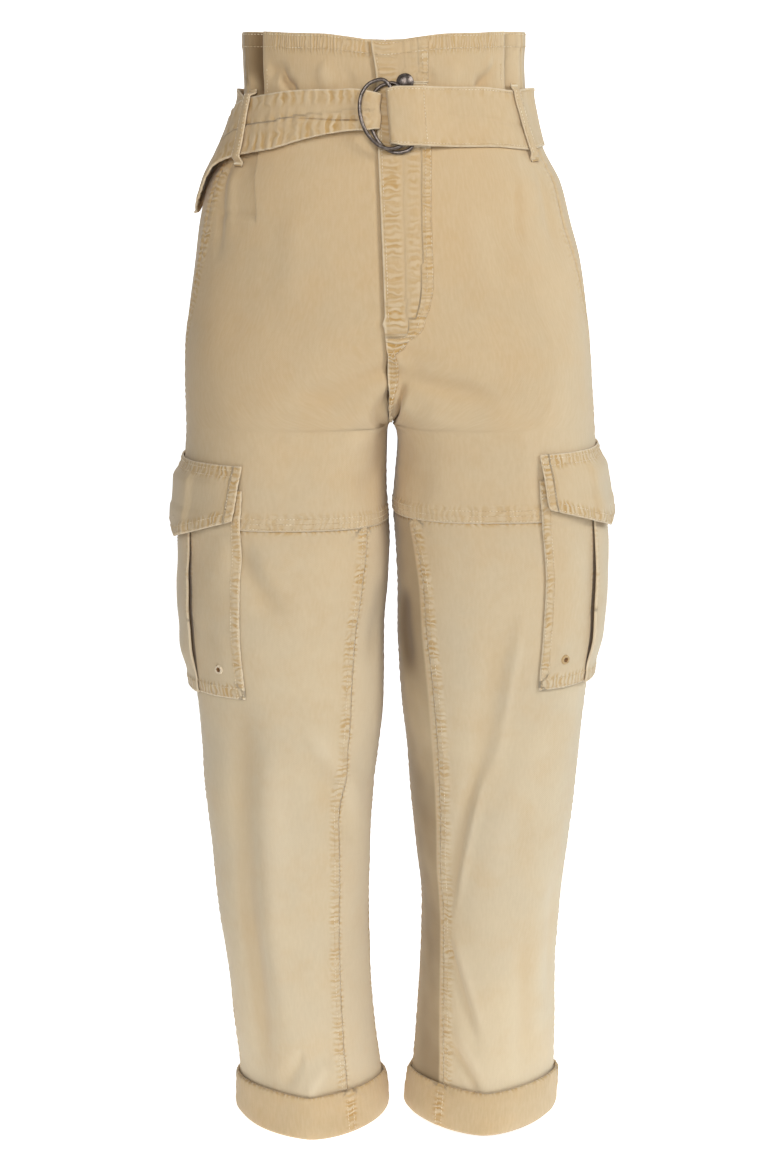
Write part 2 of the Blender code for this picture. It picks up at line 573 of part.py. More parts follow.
def lower_rows(side, across_at):
    """Rows of a lower piece: its top lies under the thigh seam, or meets it where the lap ends."""
    seam = THIGH_SEAM[side]
    across = np.array([across_at(level) for level in (seam,) + leg_lines(side)])
    nominal = np.array((seam,) + leg_lines(side))[:, None] + 0 * across
    nominal[0] = np.where(seam_share(across[0]) > 0.99, seam + SEAM_BAND - 0.004, seam - SEAM_GAP)
    return across, nominal


def inner_seam(side, level):
    word = "left" if side > 0 else "right"
    return float(curve_through(column(INNER_SEAM, INNER_SEAM_COLUMNS, "level"),
                               column(INNER_SEAM, INNER_SEAM_COLUMNS, word), level))


def lower_front_lines(side, level):
    """Across values of the lower front, from the inner leg seam to the side seam."""
    seam = inner_seam(side, level)
    shared = [line for line in FRONT_LINES if line > 0.22]
    return [seam] + [seam + (shared[0] - seam) * share for share in (0.344, 0.6875)] + shared


def inner_front_lines(side, level):
    """Across values of the inner leg panel, from the inseam to the inner leg seam."""
    return [inner_seam(side, level) * share for share in (0.0, 0.222, 0.444, 0.72, 1.0)]


def lower_front(name, side, finish):
    """Lower front between the inner leg seam and the side seam."""
    across, nominal = lower_rows(side, lambda level: lower_front_lines(side, level))
    return panel(name, side, across, nominal, finish)


def inner_front(name, side, finish):
    """Inner leg panel between the inseam and the inner leg seam."""
    across, nominal = lower_rows(side, lambda level: inner_front_lines(side, level))
    return panel(name, side, across, nominal, finish)


def back(name, side, finish):
    """Back, cut in one from the rim to the turn-up."""
    nominal = np.array(levels_of(side))[:, None]
    across = np.broadcast_to(np.array(BACK_LINES), (len(nominal), len(BACK_LINES)))
    return panel(name, side, across, nominal + 0 * across, finish)


def fly(name, finish):
    """Fly facing on the left front, its stitched curve, and the felled front rise below it."""
    levels = [level for level in levels_of(1) if CROTCH + 0.004 < level] + [-0.163, -0.187, -0.194, -0.198]
    nominal = np.array(sorted(levels, reverse=True))[:, None]
    drop = ((FLY_STRAIGHT - nominal) / (FLY_STRAIGHT - FLY_END)).clip(0, 1)
    strip = RISE_STRIP * (1 - 0.5 * ease((FLY_END - nominal) / 0.08))
    edge = np.maximum(FLY_WIDTH * np.sqrt(1 - drop ** 2), strip) / 0.43
    lines = np.array([0.0, 0.013, 0.027, 0.04, 0.065, 0.09, 0.20])[None, :]
    across = np.minimum(lines, edge)
    taper = np.where(across >= edge - 1e-9, 0.45, 1.0)
    raised = panel_raise(1, across, nominal) + 0.0006 * ease((-0.195 - nominal) / 0.03)
    outer = on_cloth(1, across, nominal, raised + ON_CLOTH + FLY_CLOTH * taper)
    inner = on_cloth(1, across, nominal, raised + ON_CLOTH)
    for points in (outer, inner):
        keep_off_middle(1, points, bent_level(across, nominal))
    return wall(name, outer, inner, finish)


def waist_lengths():
    """Length along the waist at the belt against the across value, for each side."""
    across = np.linspace(0.0, 1.0, 201)
    lengths = {}
    for side in (-1, 1):
        points = smooth_skin(side, across, np.zeros(len(across)))
        steps = np.linalg.norm(np.diff(points, axis=0), axis=1)
        lengths[side] = np.concatenate([[0.0], np.cumsum(steps)])
    return across, lengths


def on_waist(arc, level, lift):
    """A point above the cloth, its place given by the arc length round the waist."""
    across, lengths = waist_lengths()
    turn = lengths[1][-1] + lengths[-1][-1]
    arc = (np.asarray(arc, float) + lengths[-1][-1]) % turn - lengths[-1][-1]
    arc, level, lift = np.broadcast_arrays(arc, level, lift)
    right = on_cloth(-1, np.interp(-arc, lengths[-1], across), level, lift)
    left = on_cloth(1, np.interp(arc, lengths[1], across), level, lift)
    return np.where((arc < 0)[..., None], right, left)


def along_belt():
    """Places along the belt's route for its rows: short steps, and one on every line of the shell."""
    across, lengths = waist_lengths()
    turn = lengths[1][-1] + lengths[-1][-1]
    route = {key: np.array(column(BELT_ROUTE, BELT_COLUMNS, key), float) for key in BELT_COLUMNS}
    route["arc"] = route["arc"] + route["turns"] * turn
    moves = np.hypot(np.hypot(np.diff(route["arc"]), np.diff(route["level"])), np.diff(route["lift"]))
    knots = np.concatenate([[0.0], np.cumsum(moves)])
    places = []
    for start, end in zip(knots[:-1], knots[1:]):
        count = max(1, round((end - start) / BELT_STEP))
        places += list(np.linspace(start, end, count, endpoint=False))
    places.append(knots[-1])
    fine = np.linspace(knots[int(BELT_ROUND[0])], knots[int(BELT_ROUND[1])], 400)
    fine_arc = curve_through(knots, route["arc"], fine)
    left = np.interp(FRONT_LINES + BACK_LINES[1:], across, lengths[1])
    right = turn - np.interp(FRONT_LINES + BACK_LINES[1:], across, lengths[-1])
    arcs = sorted(set(np.round(np.concatenate([left, right]), 5)))
    crossings = [np.interp(arc, fine_arc, fine) for arc in arcs if fine_arc[0] < arc < fine_arc[-1]]
    kept = [place for place in places if min(abs(place - other) for other in crossings) > 0.004]
    return route, knots, np.array(sorted(kept + crossings))


def belt(name, finish):
    """Belt: folded round both ring bars, once round the waist, up through the rings and back."""
    route, knots, places = along_belt()
    values = {key: curve_through(knots, route[key], places)[:, None] for key in BELT_COLUMNS}
    share = np.linspace(-0.5, 0.5, BELT_ROWS + 1)[None, :]
    lean = np.radians(values["lean"])
    around = values["arc"] - share * values["width"] * np.sin(lean)
    level = values["level"] + share * values["width"] * np.cos(lean)
    lift = values["lift"] + values["splay"] * (0.5 - share)
    return ribbon(name, on_waist(around, level, lift), BELT_CLOTH, finish)


def ring(row, finish):
    """A D-shaped ring of round wire, standing in front of the cloth."""
    spec = dict(zip(RING_COLUMNS, row))
    tilt = math.radians(spec["tilt"])
    line = bpy.data.curves.new(spec["name"], "CURVE")
    line.dimensions = "3D"
    line.bevel_depth = RING_WIRE / 2
    line.bevel_resolution = 2
    line.use_fill_caps = False
    spline = line.splines.new("POLY")
    spline.points.add(RING_POINTS - 1)
    spline.use_cyclic_u = True
    for index, point in enumerate(spline.points):
        angle = 2 * math.pi * index / RING_POINTS
        bar_side = math.cos(angle) > 0
        exponent = 2 / (RING_BAR_ROUND if bar_side else 2.0)
        beside = (RING_BEHIND if bar_side else RING_FORWARD) * power(math.cos(angle), exponent)
        height = RING_HALF_HEIGHT * power(math.sin(angle), exponent)
        x = spec["x"] + beside * math.cos(tilt) - height * math.sin(tilt)
        z = spec["level"] + beside * math.sin(tilt) + height * math.cos(tilt)
        share = (RING_BEHIND - beside) / (RING_BEHIND + RING_FORWARD)
        lift = spec["lift_bar"] + (spec["lift_round"] - spec["lift_bar"]) * share
        point.co = (x, RING_SLOPE * z - RING_BASE - lift, z, 1.0)
    return add_object(spec["name"], line, finish)


def belt_loop(row, finish):
    """A belt loop: two feet sewn to the cloth and a bridge that stands over the belt."""
    spec = dict(zip(LOOP_COLUMNS, row))
    top, bottom, stand = spec["top"], spec["bottom"], spec["stand"]
    foot = ON_CLOTH + LOOP_CLOTH / 2
    profile = ((top, foot), (top - LOOP_FOOT, foot + 0.0006), (top - LOOP_FOOT - 0.001, stand),
               (top - 0.5 * (top - bottom), stand + 0.0004), (bottom + LOOP_FOOT + 0.002, stand),
               (bottom + LOOP_FOOT, foot + 0.0006), (bottom, foot))
    level = np.array([point[0] for point in profile])[:, None]
    lift = np.array([point[1] for point in profile])[:, None]
    share = (top - level) / (top - bottom)
    half = np.array([-0.5, 0.0, 0.5])[None, :] * LOOP_WIDTH
    arc = spec["arc"] + spec["drift"] * share + half
    return ribbon(spec["name"], on_waist(arc, level + 0 * arc, lift + 0 * arc), LOOP_CLOTH, finish)


def lathe(name, profile, finish, place, direction, steps):
    """Turn a profile round Z, then set it on a place, facing a direction."""
    data = bpy.data.meshes.new(name)
    is_loop = profile[0] == profile[-1]
    points = profile[:-1] if is_loop else profile
    edges = [(i, (i + 1) % len(points)) for i in range(len(profile) - 1)]
    data.from_pydata([(radius, 0.0, height) for radius, height in points], edges, [])
    piece = add_object(name, data, finish)
    screw = piece.modifiers.new("turn", "SCREW")
    screw.steps = steps
    screw.render_steps = steps
    screw.use_merge_vertices = True
    screw.merge_threshold = 0.00005
    screw.use_normal_calculate = True
    direction = np.asarray(direction, float)
    tilt = math.acos(direction[2] / np.linalg.norm(direction))
    turn = math.atan2(direction[1], direction[0])
    piece.rotation_euler = (0.0, tilt, turn)
    piece.location = place
    return piece


def button(name, finish):
    """Shank button with a domed head, on the fly."""
    place = on_cloth(1, np.array(BUTTON_X / 0.43), np.array(BUTTON_LEVEL), np.array(0.0024))
    return lathe(name, BUTTON_PROFILE, finish, place, face_direction(1, 0.0, BUTTON_LEVEL), 24)


def leg_girth(side, level):
    points = smooth_skin(side, np.linspace(0.0, 1.0, 61), np.full(61, level))
    return np.linalg.norm(np.diff(points, axis=0), axis=1).sum()


def beside_pocket_middle(side, distance, level):
    """The across value at a distance from the pocket's middle line, measured on the cloth."""
    girths = np.vectorize(lambda one: leg_girth(side, one))(np.asarray(level, float))
    return POCKET_ACROSS + distance / girths


def with_edges(side, half, lines, level):
    """Across values of a pocket piece: its two edges at a distance from its middle, lines between."""
    ends = [beside_pocket_middle(side, sign * half, level) for sign in (-1, 1)]
    between = [np.full(level.shape, line) for line in lines]
    return np.concatenate([ends[0], *between, ends[1]], axis=1)


def pocket(name, side, finish):
    """Cargo pocket bag with a raised box pleat down its middle."""
    seam = THIGH_SEAM[side]
    top, bottom = POCKET_TOP[side] - POCKET_START, POCKET_TOP[side] - POCKET_LENGTH
    rows = [top, seam + SEAM_BAND + 0.0012, seam + SEAM_BAND, seam, seam - 0.0012]
    rows += [line for line in LEG_LINES if line > bottom + 0.015] + [bottom + 0.0125, bottom + 0.0115, bottom]
    nominal = np.array(rows)[:, None]
    lines = (0.335, 0.37, *PLEAT_LINES, 0.53, 0.56)
    across = with_edges(side, POCKET_HALF, lines, nominal)
    nominal = nominal + 0 * across
    on_pleat = (across > 0.410) & (across < 0.500)
    share = (top - nominal) / (top - bottom)
    face = np.where(on_pleat, PLEAT_FACE, POCKET_FACE + 0.0008 * np.sin(math.pi * share))
    face[-2:] = np.where(on_pleat[-2:], PLEAT_FACE, POCKET_EDGE)
    face[:, 0] = POCKET_EDGE
    face[:, -1] = POCKET_EDGE
    raised = panel_raise(side, across, nominal)
    outer = on_cloth(side, across, nominal, raised + face)
    inner = on_cloth(side, across, nominal, raised + ON_CLOTH)
    return wall(name, outer, inner, finish)


def flap(name, side, finish):
    """Pointed pocket flap, sewn on above the bag and standing away from it at the point."""
    lines = (0.335, 0.37, 0.41, 0.4325, POCKET_ACROSS, 0.4775, 0.50, 0.53, 0.56)
    at_top = np.array([[POCKET_TOP[side]]])
    across_top = with_edges(side, FLAP_HALF, lines, at_top)
    aside = np.abs(across_top - POCKET_ACROSS) / (across_top[0, -1] - POCKET_ACROSS)
    length = FLAP_CORNER + (FLAP_POINT - FLAP_CORNER) * (1 - aside)
    shares = np.array([0.0, 0.10, 0.22, 0.40, 0.60, 0.80, 1.0])[:, None]
    nominal = POCKET_TOP[side] - length * shares
    across = across_top + 0 * nominal
    over_bag = PLEAT_FACE + 0.0006
    flare = 0.0060 * (1 - aside ** 2) * shares ** 2
    hollow = ON_CLOTH + (over_bag - ON_CLOTH) * ease(shares / 0.22) + flare
    seam = THIGH_SEAM[side]
    over_seam = (ON_CLOTH + CLOTH) * seam_share(across) * ease((seam + 0.03 - nominal) / 0.012)
    outer = on_cloth(side, across, nominal, over_seam + hollow + FLAP_CLOTH)
    inner = on_cloth(side, across, nominal, over_seam + hollow)
    return wall(name, outer, inner, finish)


def eyelet(name, side, finish):
    """Small drain eyelet in the lower front corner of a pocket."""
    level = POCKET_TOP[side] - POCKET_LENGTH + EYELET_FROM_END
    across = beside_pocket_middle(side, np.array(-POCKET_HALF + EYELET_FROM_EDGE), np.array(level))
    place = on_cloth(side, across, np.array(level), np.array(POCKET_FACE + 0.0012))
    outer = EYELET_RADIUS + EYELET_RIM
    profile = ((EYELET_RADIUS, 0.0), (EYELET_RADIUS, 0.0006), ((outer + EYELET_RADIUS) / 2, 0.0010),
               (outer, 0.0006), (outer, 0.0), (EYELET_RADIUS, 0.0))
    return lathe(name, profile, finish, place, face_direction(side, across, level), 16)


def cuff(name, side, finish):
    """Turn-up: a ring of folded cloth with the end of the leg in its channel."""
    bottom = CUFF_LEVEL[side]
    inner_lines = inner_front_lines(side, bottom)
    across = np.array(inner_lines + lower_front_lines(side, bottom)[1:] + list(BACK_LINES[1:-1]))
    mesh = bmesh.new()
    rows = []
    for lift, height in CUFF_SECTION:
        level = bottom + CUFF_HEIGHT * height + hem_dip(across) * (1 - 1.4 * max(height, 0.0))
        rows.append([mesh.verts.new(point) for point in skin(side, across, level, lift)])
    for row, below in zip(rows, rows[1:] + rows[:1]):
        for j in range(len(across)):
            k = (j + 1) % len(across)
            mesh.faces.new((row[j], below[j], below[k], row[k]))
    return finished(name, mesh, finish)


for old in list(bpy.data.objects):
    bpy.data.objects.remove(old, do_unlink=True)
collection = bpy.data.collections.new("paperbag_waist_trousers")
bpy.context.scene.collection.children.link(collection)

twill = material("sand_twill", SAND, 0.9)
twill_trim = material("sand_twill_trim", SAND_DEEP, 0.9)
metal = material("dark_steel", DARK_STEEL, 0.35, 1.0)
eyelet_metal = material("painted_eyelet", BRASS, 0.5, 0.6)

for side, word in ((-1, "right"), (1, "left")):
    upper_front(f"front_{word}_upper", side, twill)
    lower_front(f"front_{word}_lower", side, twill)
    inner_front(f"front_{word}_inner", side, twill)
    back(f"back_{word}", side, twill)
    cuff(f"cuff_{word}", side, twill)
    pocket(f"pocket_{word}", side, twill_trim)
    flap(f"flap_{word}", side, twill)
    eyelet(f"eyelet_{word}", side, eyelet_metal)

fly("fly", twill_trim)
button("button", metal)
belt("belt", twill)
for ring_row in RINGS:
    ring(ring_row, metal)
for loop_row in LOOPS:
    belt_loop(loop_row, twill_trim)
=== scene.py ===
# Paperbag waist trousers: cloth, stitches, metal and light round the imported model.
# Metres, Z up, the front faces -Y. side is -1 on the wearer's right and 1 on the left.
# across runs round one half: 0 front middle, 0.5 side seam, 1 back middle.

import math

import bmesh
import bpy
import numpy as np
from mathutils import Matrix, Vector


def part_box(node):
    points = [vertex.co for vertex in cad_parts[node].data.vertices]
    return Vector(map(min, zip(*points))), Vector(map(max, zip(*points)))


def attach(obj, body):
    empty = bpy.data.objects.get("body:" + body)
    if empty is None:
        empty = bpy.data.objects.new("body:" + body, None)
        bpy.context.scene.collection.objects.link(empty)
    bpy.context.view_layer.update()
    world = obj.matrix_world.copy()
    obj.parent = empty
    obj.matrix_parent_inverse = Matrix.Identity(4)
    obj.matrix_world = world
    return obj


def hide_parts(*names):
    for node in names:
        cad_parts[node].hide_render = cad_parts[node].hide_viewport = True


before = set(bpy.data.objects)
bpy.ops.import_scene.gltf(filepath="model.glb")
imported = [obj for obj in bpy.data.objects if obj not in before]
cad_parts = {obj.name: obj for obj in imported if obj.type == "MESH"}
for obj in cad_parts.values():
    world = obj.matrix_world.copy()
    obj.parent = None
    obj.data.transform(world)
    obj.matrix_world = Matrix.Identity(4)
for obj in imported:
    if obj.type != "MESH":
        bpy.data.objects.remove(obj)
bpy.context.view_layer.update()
print("frame loaded")

# ---- form of the trousers, shared by every cloth piece ----

# Each row: level, reach of each leg's outer and inner side, depth in front and behind, exponents of the section
shellColumns = ("level", "rightOuter", "rightInner", "leftInner", "leftOuter",
                "front", "back", "roundIn", "roundOut")
shellRows = (
    (0.090, -0.1305, 0.0000, 0.0000, 0.1290, 0.0870, 0.0930, 2.25, 2.25),
    (0.050, -0.1312, 0.0000, 0.0000, 0.1290, 0.0860, 0.0915, 2.25, 2.25),
    (0.024, -0.1305, 0.0000, 0.0000, 0.1300, 0.0870, 0.0915, 2.25, 2.25),
    (0.000, -0.1370, 0.0000, 0.0000, 0.1365, 0.0897, 0.0950, 2.25, 2.25),
    (-0.030, -0.1480, 0.0000, 0.0000, 0.1480, 0.0936, 0.1020, 2.25, 2.25),
    (-0.060, -0.1640, 0.0000, 0.0000, 0.1640, 0.0995, 0.1110, 2.25, 2.20),
    (-0.095, -0.1735, 0.0005, 0.0005, 0.1735, 0.1040, 0.1210, 2.30, 2.15),
    (-0.130, -0.1785, 0.0015, 0.0015, 0.1830, 0.1065, 0.1290, 2.40, 2.15),
    (-0.170, -0.1842, 0.0025, 0.0025, 0.1890, 0.1070, 0.1335, 2.50, 2.15),
    (-0.210, -0.1884, 0.0035, 0.0035, 0.1934, 0.1055, 0.1330, 2.70, 2.15),
    (-0.245, -0.1890, 0.0045, 0.0045, 0.1958, 0.1030, 0.1280, 2.80, 2.15),
    (-0.281, -0.1890, 0.0057, 0.0057, 0.1990, 0.0995, 0.1200, 2.80, 2.15),
    (-0.284, -0.1890, 0.0038, 0.0076, 0.1992, 0.0990, 0.1190, 2.80, 2.15),
    (-0.290, -0.1892, 0.0026, 0.0098, 0.1996, 0.0985, 0.1175, 2.80, 2.15),
    (-0.302, -0.1900, 0.0019, 0.0112, 0.2006, 0.0975, 0.1145, 2.75, 2.15),
    (-0.335, -0.1925, 0.0010, 0.0092, 0.2040, 0.0950, 0.1075, 2.65, 2.15),
    (-0.360, -0.1930, 0.0018, 0.0078, 0.2056, 0.0925, 0.1030, 2.60, 2.15),
    (-0.400, -0.1915, 0.0044, 0.0106, 0.2054, 0.0890, 0.0980, 2.50, 2.15),
    (-0.438, -0.1908, 0.0028, 0.0122, 0.2046, 0.0860, 0.0935, 2.45, 2.15),
    (-0.478, -0.1896, -0.0008, 0.0115, 0.2024, 0.0830, 0.0900, 2.40, 2.15),
    (-0.518, -0.1870, -0.0012, 0.0134, 0.1988, 0.0805, 0.0870, 2.35, 2.10),
    (-0.558, -0.1830, -0.0022, 0.0164, 0.1948, 0.0780, 0.0845, 2.30, 2.05),
    (-0.599, -0.1795, -0.0061, 0.0210, 0.1903, 0.0760, 0.0825, 2.20, 2.00),
    (-0.640, -0.1772, -0.0108, 0.0244, 0.1860, 0.0745, 0.0810, 2.10, 1.95),
    (-0.701, -0.1718, -0.0150, 0.0302, 0.1800, 0.0725, 0.0800, 2.00, 1.90),
    (-0.764, -0.1656, -0.0163, 0.0364, 0.1733, 0.0712, 0.0790, 1.90, 1.85),
    (-0.827, -0.1575, -0.0152, 0.0350, 0.1694, 0.0705, 0.0780, 1.80, 1.75),
    (-0.891, -0.1516, -0.0108, 0.0312, 0.1696, 0.0705, 0.0765, 1.70, 1.65),
    (-0.934, -0.1472, -0.0050, 0.0280, 0.1694, 0.0710, 0.0755, 1.65, 1.60),
    (-0.985, -0.1470, 0.0008, 0.0218, 0.1696, 0.0715, 0.0750, 1.62, 1.60),
)
sideSeamForward = ((0.09, 0.30), (-0.09, 0.34), (-0.16, 0.22), (-0.24, 0.04), (-0.32, 0.10), (-0.42, 0.0))

sideWord = {-1: "right", 1: "left"}
form = {
    "riseBlend": -0.176,  # below this the two halves turn into legs
    "crotch": -0.281,
    "rim": 0.072,
    "rimHem": 0.014,
    "rimLine": ((0.0, -0.0060), (0.02, -0.0050), (0.07, -0.0020), (0.14, 0.0008), (0.27, 0.0020),
                (0.38, 0.0035), (0.47, 0.0040), (0.60, 0.0050), (0.72, 0.0065), (0.80, 0.0062),
                (0.90, 0.0035), (1.0, 0.0018)),
    "flyLap": ((0.072, 0.0095), (0.035, 0.0056), (-0.03, 0.0042), (-0.09, 0.0028), (-0.19, 0.0019),
               (-0.27, 0.0002)),
    "thighSeam": {-1: -0.375, 1: -0.367},
    "thighBand": 0.014,
    "tuckLength": 0.010,
    "tuckDepth": 0.0011,
    "legEnd": {-1: -0.9745, 1: -0.9700},
    "hemBend": (-0.86, -0.9745),
    "hemDip": 0.0050,
    "underCuff": 0.031,  # how high the turn-up hides the leg
    "innerSeam": {-1: ((-0.36, 0.112), (-0.45, 0.128), (-0.55, 0.142), (-0.65, 0.143), (-0.75, 0.139),
                       (-0.85, 0.142), (-0.98, 0.150)),
                  1: ((-0.36, 0.106), (-0.45, 0.128), (-0.56, 0.146), (-0.65, 0.138), (-0.75, 0.122),
                      (-0.85, 0.128), (-0.98, 0.142))},
}
cloth = {
    "thickness": 0.0014,
    "gap": 0.00015,
    "step": 0.0028,
    "flatHalf": 0.46,  # metres of flat cloth for one unit of across
    "noTrough": -0.0055,  # folds deeper than this are coloured alike
}
# how dark the painted shade is where the cloth lies in its own shadow; below 0 it is a painted highlight
shadow = {
    "behindFold": 0.0086,
    "flyEdge": 0.0092,
    "underBelt": 0.0085,
    "underThigh": 0.0085,
    "underRings": 0.0088,
    "slit": 0.0120,
    "betweenLegs": {-1: -0.0030, 1: 0.0086},
}

foldStrength = 1.8
# Soft folds: side, across and level of both ends, width, height (below 0 is a trough)
folds = (
    # drag lines from the crotch
    (1, -0.075, -0.214, 0.215, -0.262, 0.0095, -0.0034),
    (1, -0.030, -0.232, 0.110, -0.268, 0.0060, -0.0016),
    (1, -0.030, -0.246, 0.210, -0.285, 0.0100, 0.0014),
    (-1, -0.070, -0.208, 0.190, -0.268, 0.0090, -0.0026),
    (-1, -0.020, -0.240, 0.090, -0.290, 0.0065, -0.0018),
    (-1, 0.030, -0.262, 0.190, -0.300, 0.012, 0.0016),
    (1, 0.004, -0.196, 0.055, -0.232, 0.006, -0.0014),
    (1, 0.026, -0.232, 0.012, -0.312, 0.0040, -0.0056),
    (1, 0.050, -0.300, 0.170, -0.345, 0.016, -0.0016),
    (-1, 0.040, -0.300, 0.150, -0.350, 0.016, -0.0016),
    # hips
    (-1, 0.478, -0.030, 0.405, -0.135, 0.008, -0.0018),
    (-1, 0.440, -0.035, 0.375, -0.110, 0.009, 0.0008),
    (1, 0.330, -0.045, 0.290, -0.130, 0.010, -0.0012),
    (1, 0.440, -0.040, 0.420, -0.130, 0.012, -0.0014),
    (1, 0.170, -0.060, 0.200, -0.180, 0.022, 0.0012),
    (-1, 0.170, -0.070, 0.160, -0.190, 0.022, 0.0010),
    # gathered bag above the belt
    (-1, 0.380, 0.040, 0.262, 0.041, 0.007, -0.0024),
    (-1, 0.318, 0.038, 0.232, 0.020, 0.006, -0.0040),
    (-1, 0.450, 0.045, 0.415, 0.028, 0.006, -0.0030),
    (-1, 0.150, 0.050, 0.120, 0.022, 0.012, 0.0012),
    (-1, 0.060, 0.040, 0.085, 0.018, 0.007, -0.0010),
    (1, 0.235, 0.024, 0.360, 0.042, 0.008, -0.0036),
    (1, 0.300, 0.055, 0.330, 0.026, 0.010, 0.0014),
    (1, 0.110, 0.042, 0.080, 0.022, 0.007, -0.0014),
    (1, 0.160, 0.052, 0.180, 0.020, 0.014, 0.0010),
    # right leg: a long soft trough down the outside, faint ridges across the knee
    (-1, 0.322, -0.490, 0.362, -0.965, 0.0170, -0.0034),
    (-1, 0.352, -0.680, 0.366, -0.960, 0.0110, -0.0020),
    (-1, 0.272, -0.520, 0.296, -0.910, 0.0200, 0.0022),
    (-1, 0.250, -0.555, 0.060, -0.665, 0.0110, 0.0022),
    (-1, 0.235, -0.600, 0.080, -0.700, 0.0120, -0.0016),
    (-1, 0.310, -0.760, 0.165, -0.875, 0.0130, -0.0014),
    (-1, 0.240, -0.890, 0.330, -0.940, 0.0080, -0.0020),
    (-1, 0.170, -0.905, 0.265, -0.945, 0.0090, 0.0018),
    (-1, 0.330, -0.380, 0.250, -0.470, 0.0120, -0.0026),
    (-1, 0.300, -0.385, 0.215, -0.480, 0.0120, 0.0014),
    (-1, 0.060, -0.420, 0.090, -0.520, 0.0120, -0.0014),
    # left leg: a crisp diagonal ridge from the pocket to the inner seam, hollow beside it
    (1, 0.290, -0.430, 0.238, -0.655, 0.0055, 0.0022),
    (1, 0.258, -0.570, 0.142, -0.780, 0.0050, 0.0030),
    (1, 0.268, -0.440, 0.214, -0.650, 0.0110, -0.0020),
    (1, 0.236, -0.590, 0.128, -0.780, 0.0100, -0.0030),
    (1, 0.340, -0.540, 0.235, -0.740, 0.0160, 0.0014),
    (1, 0.120, -0.765, 0.225, -0.900, 0.0060, -0.0024),
    (1, 0.140, -0.765, 0.250, -0.890, 0.0080, 0.0016),
    (1, 0.140, -0.885, 0.236, -0.945, 0.0055, -0.0024),
    (1, 0.150, -0.870, 0.250, -0.930, 0.0070, 0.0014),
    (1, 0.320, -0.760, 0.375, -0.950, 0.0150, -0.0022),
    (1, 0.420, -0.700, 0.440, -0.900, 0.0160, -0.0018),
    (1, 0.060, -0.430, 0.085, -0.530, 0.0120, -0.0014),
    # back of the seat, knees and calves
    (1, 0.985, -0.262, 0.740, -0.322, 0.015, -0.0046),
    (-1, 0.985, -0.258, 0.730, -0.330, 0.015, -0.0046),
    (1, 0.970, -0.296, 0.720, -0.375, 0.013, 0.0032),
    (-1, 0.975, -0.300, 0.710, -0.385, 0.013, 0.0032),
    (1, 0.900, -0.330, 0.760, -0.400, 0.012, -0.0030),
    (-1, 0.900, -0.340, 0.740, -0.410, 0.012, -0.0028),
    (1, 0.900, -0.565, 0.690, -0.640, 0.013, -0.0052),
    (-1, 0.890, -0.580, 0.680, -0.655, 0.013, -0.0052),
    (1, 0.880, -0.600, 0.640, -0.680, 0.012, 0.0034),
    (-1, 0.880, -0.620, 0.650, -0.690, 0.012, 0.0034),
    (1, 0.830, -0.655, 0.620, -0.730, 0.013, -0.0042),
    (-1, 0.850, -0.670, 0.660, -0.745, 0.013, -0.0040),
    (1, 0.900, -0.700, 0.700, -0.790, 0.014, 0.0028),
    (-1, 0.890, -0.720, 0.690, -0.800, 0.014, 0.0026),
    (1, 0.620, -0.800, 0.700, -0.940, 0.014, -0.0034),
    (-1, 0.640, -0.790, 0.680, -0.940, 0.014, -0.0034),
    (1, 0.840, -0.830, 0.760, -0.930, 0.012, -0.0026),
    (-1, 0.830, -0.850, 0.770, -0.935, 0.012, -0.0024),
    (1, 0.640, -0.050, 0.660, -0.160, 0.014, -0.0026),
    (-1, 0.650, -0.050, 0.640, -0.150, 0.014, -0.0026),
    (1, 0.780, -0.040, 0.760, -0.120, 0.012, -0.0030),
    (-1, 0.790, -0.040, 0.770, -0.125, 0.012, -0.0028),
    (1, 0.890, -0.045, 0.880, -0.110, 0.010, -0.0020),
    (-1, 0.900, -0.045, 0.890, -0.105, 0.010, -0.0022),
    (1, 0.600, 0.060, 0.620, 0.020, 0.010, -0.0036),
    (-1, 0.610, 0.062, 0.600, 0.020, 0.010, -0.0034),
    (1, 0.720, 0.060, 0.700, 0.018, 0.010, -0.0034),
    (-1, 0.730, 0.060, 0.745, 0.018, 0.010, -0.0036),
    (1, 0.860, 0.058, 0.850, 0.018, 0.010, -0.0030),
    (-1, 0.880, 0.060, 0.860, 0.018, 0.010, -0.0030),
    (1, 0.660, 0.060, 0.665, 0.020, 0.011, 0.0020),
    (-1, 0.800, 0.060, 0.805, 0.020, 0.011, 0.0020),
)


def curveThrough(rows, place):
    # a smooth curve through a table of (place, value), one that never overshoots it
    rows = sorted(rows)
    places, values = np.array(rows, float).T
    slopes = np.diff(values) / np.diff(places)
    tangents = np.concatenate([slopes[:1], np.zeros(len(slopes) - 1), slopes[-1:]])
    product = slopes[1:] * slopes[:-1]
    total = np.where(product > 0, slopes[1:] + slopes[:-1], 1.0)
    tangents[1:-1] = np.where(product > 0, 2 * product / total, 0.0)
    place = np.clip(np.asarray(place, float), places[0], places[-1])
    cell = np.clip(np.searchsorted(places, place, side="right") - 1, 0, len(places) - 2)
    width = places[cell + 1] - places[cell]
    t = (place - places[cell]) / width
    start = values[cell] * (1 + 2 * t) * (1 - t) ** 2 + tangents[cell] * width * t * (1 - t) ** 2
    end = values[cell + 1] * t * t * (3 - 2 * t) - tangents[cell + 1] * width * t * t * (1 - t)
    return start + end


def shellValue(name, level):
    index = shellColumns.index(name)
    return curveThrough([(row[0], row[index]) for row in shellRows], level)


def near(distance, width):
    # 1 on a line, gone a little over this width beside it
    return np.exp(-(distance / width) ** 2)


def ease(value):
    value = np.clip(value, 0.0, 1.0)
    return value * value * (3 - 2 * value)


def power(value, exponent):
    return np.sign(value) * np.abs(value) ** exponent


def unit(vectors):
    return vectors / np.maximum(np.linalg.norm(vectors, axis=-1, keepdims=True), 1e-12)


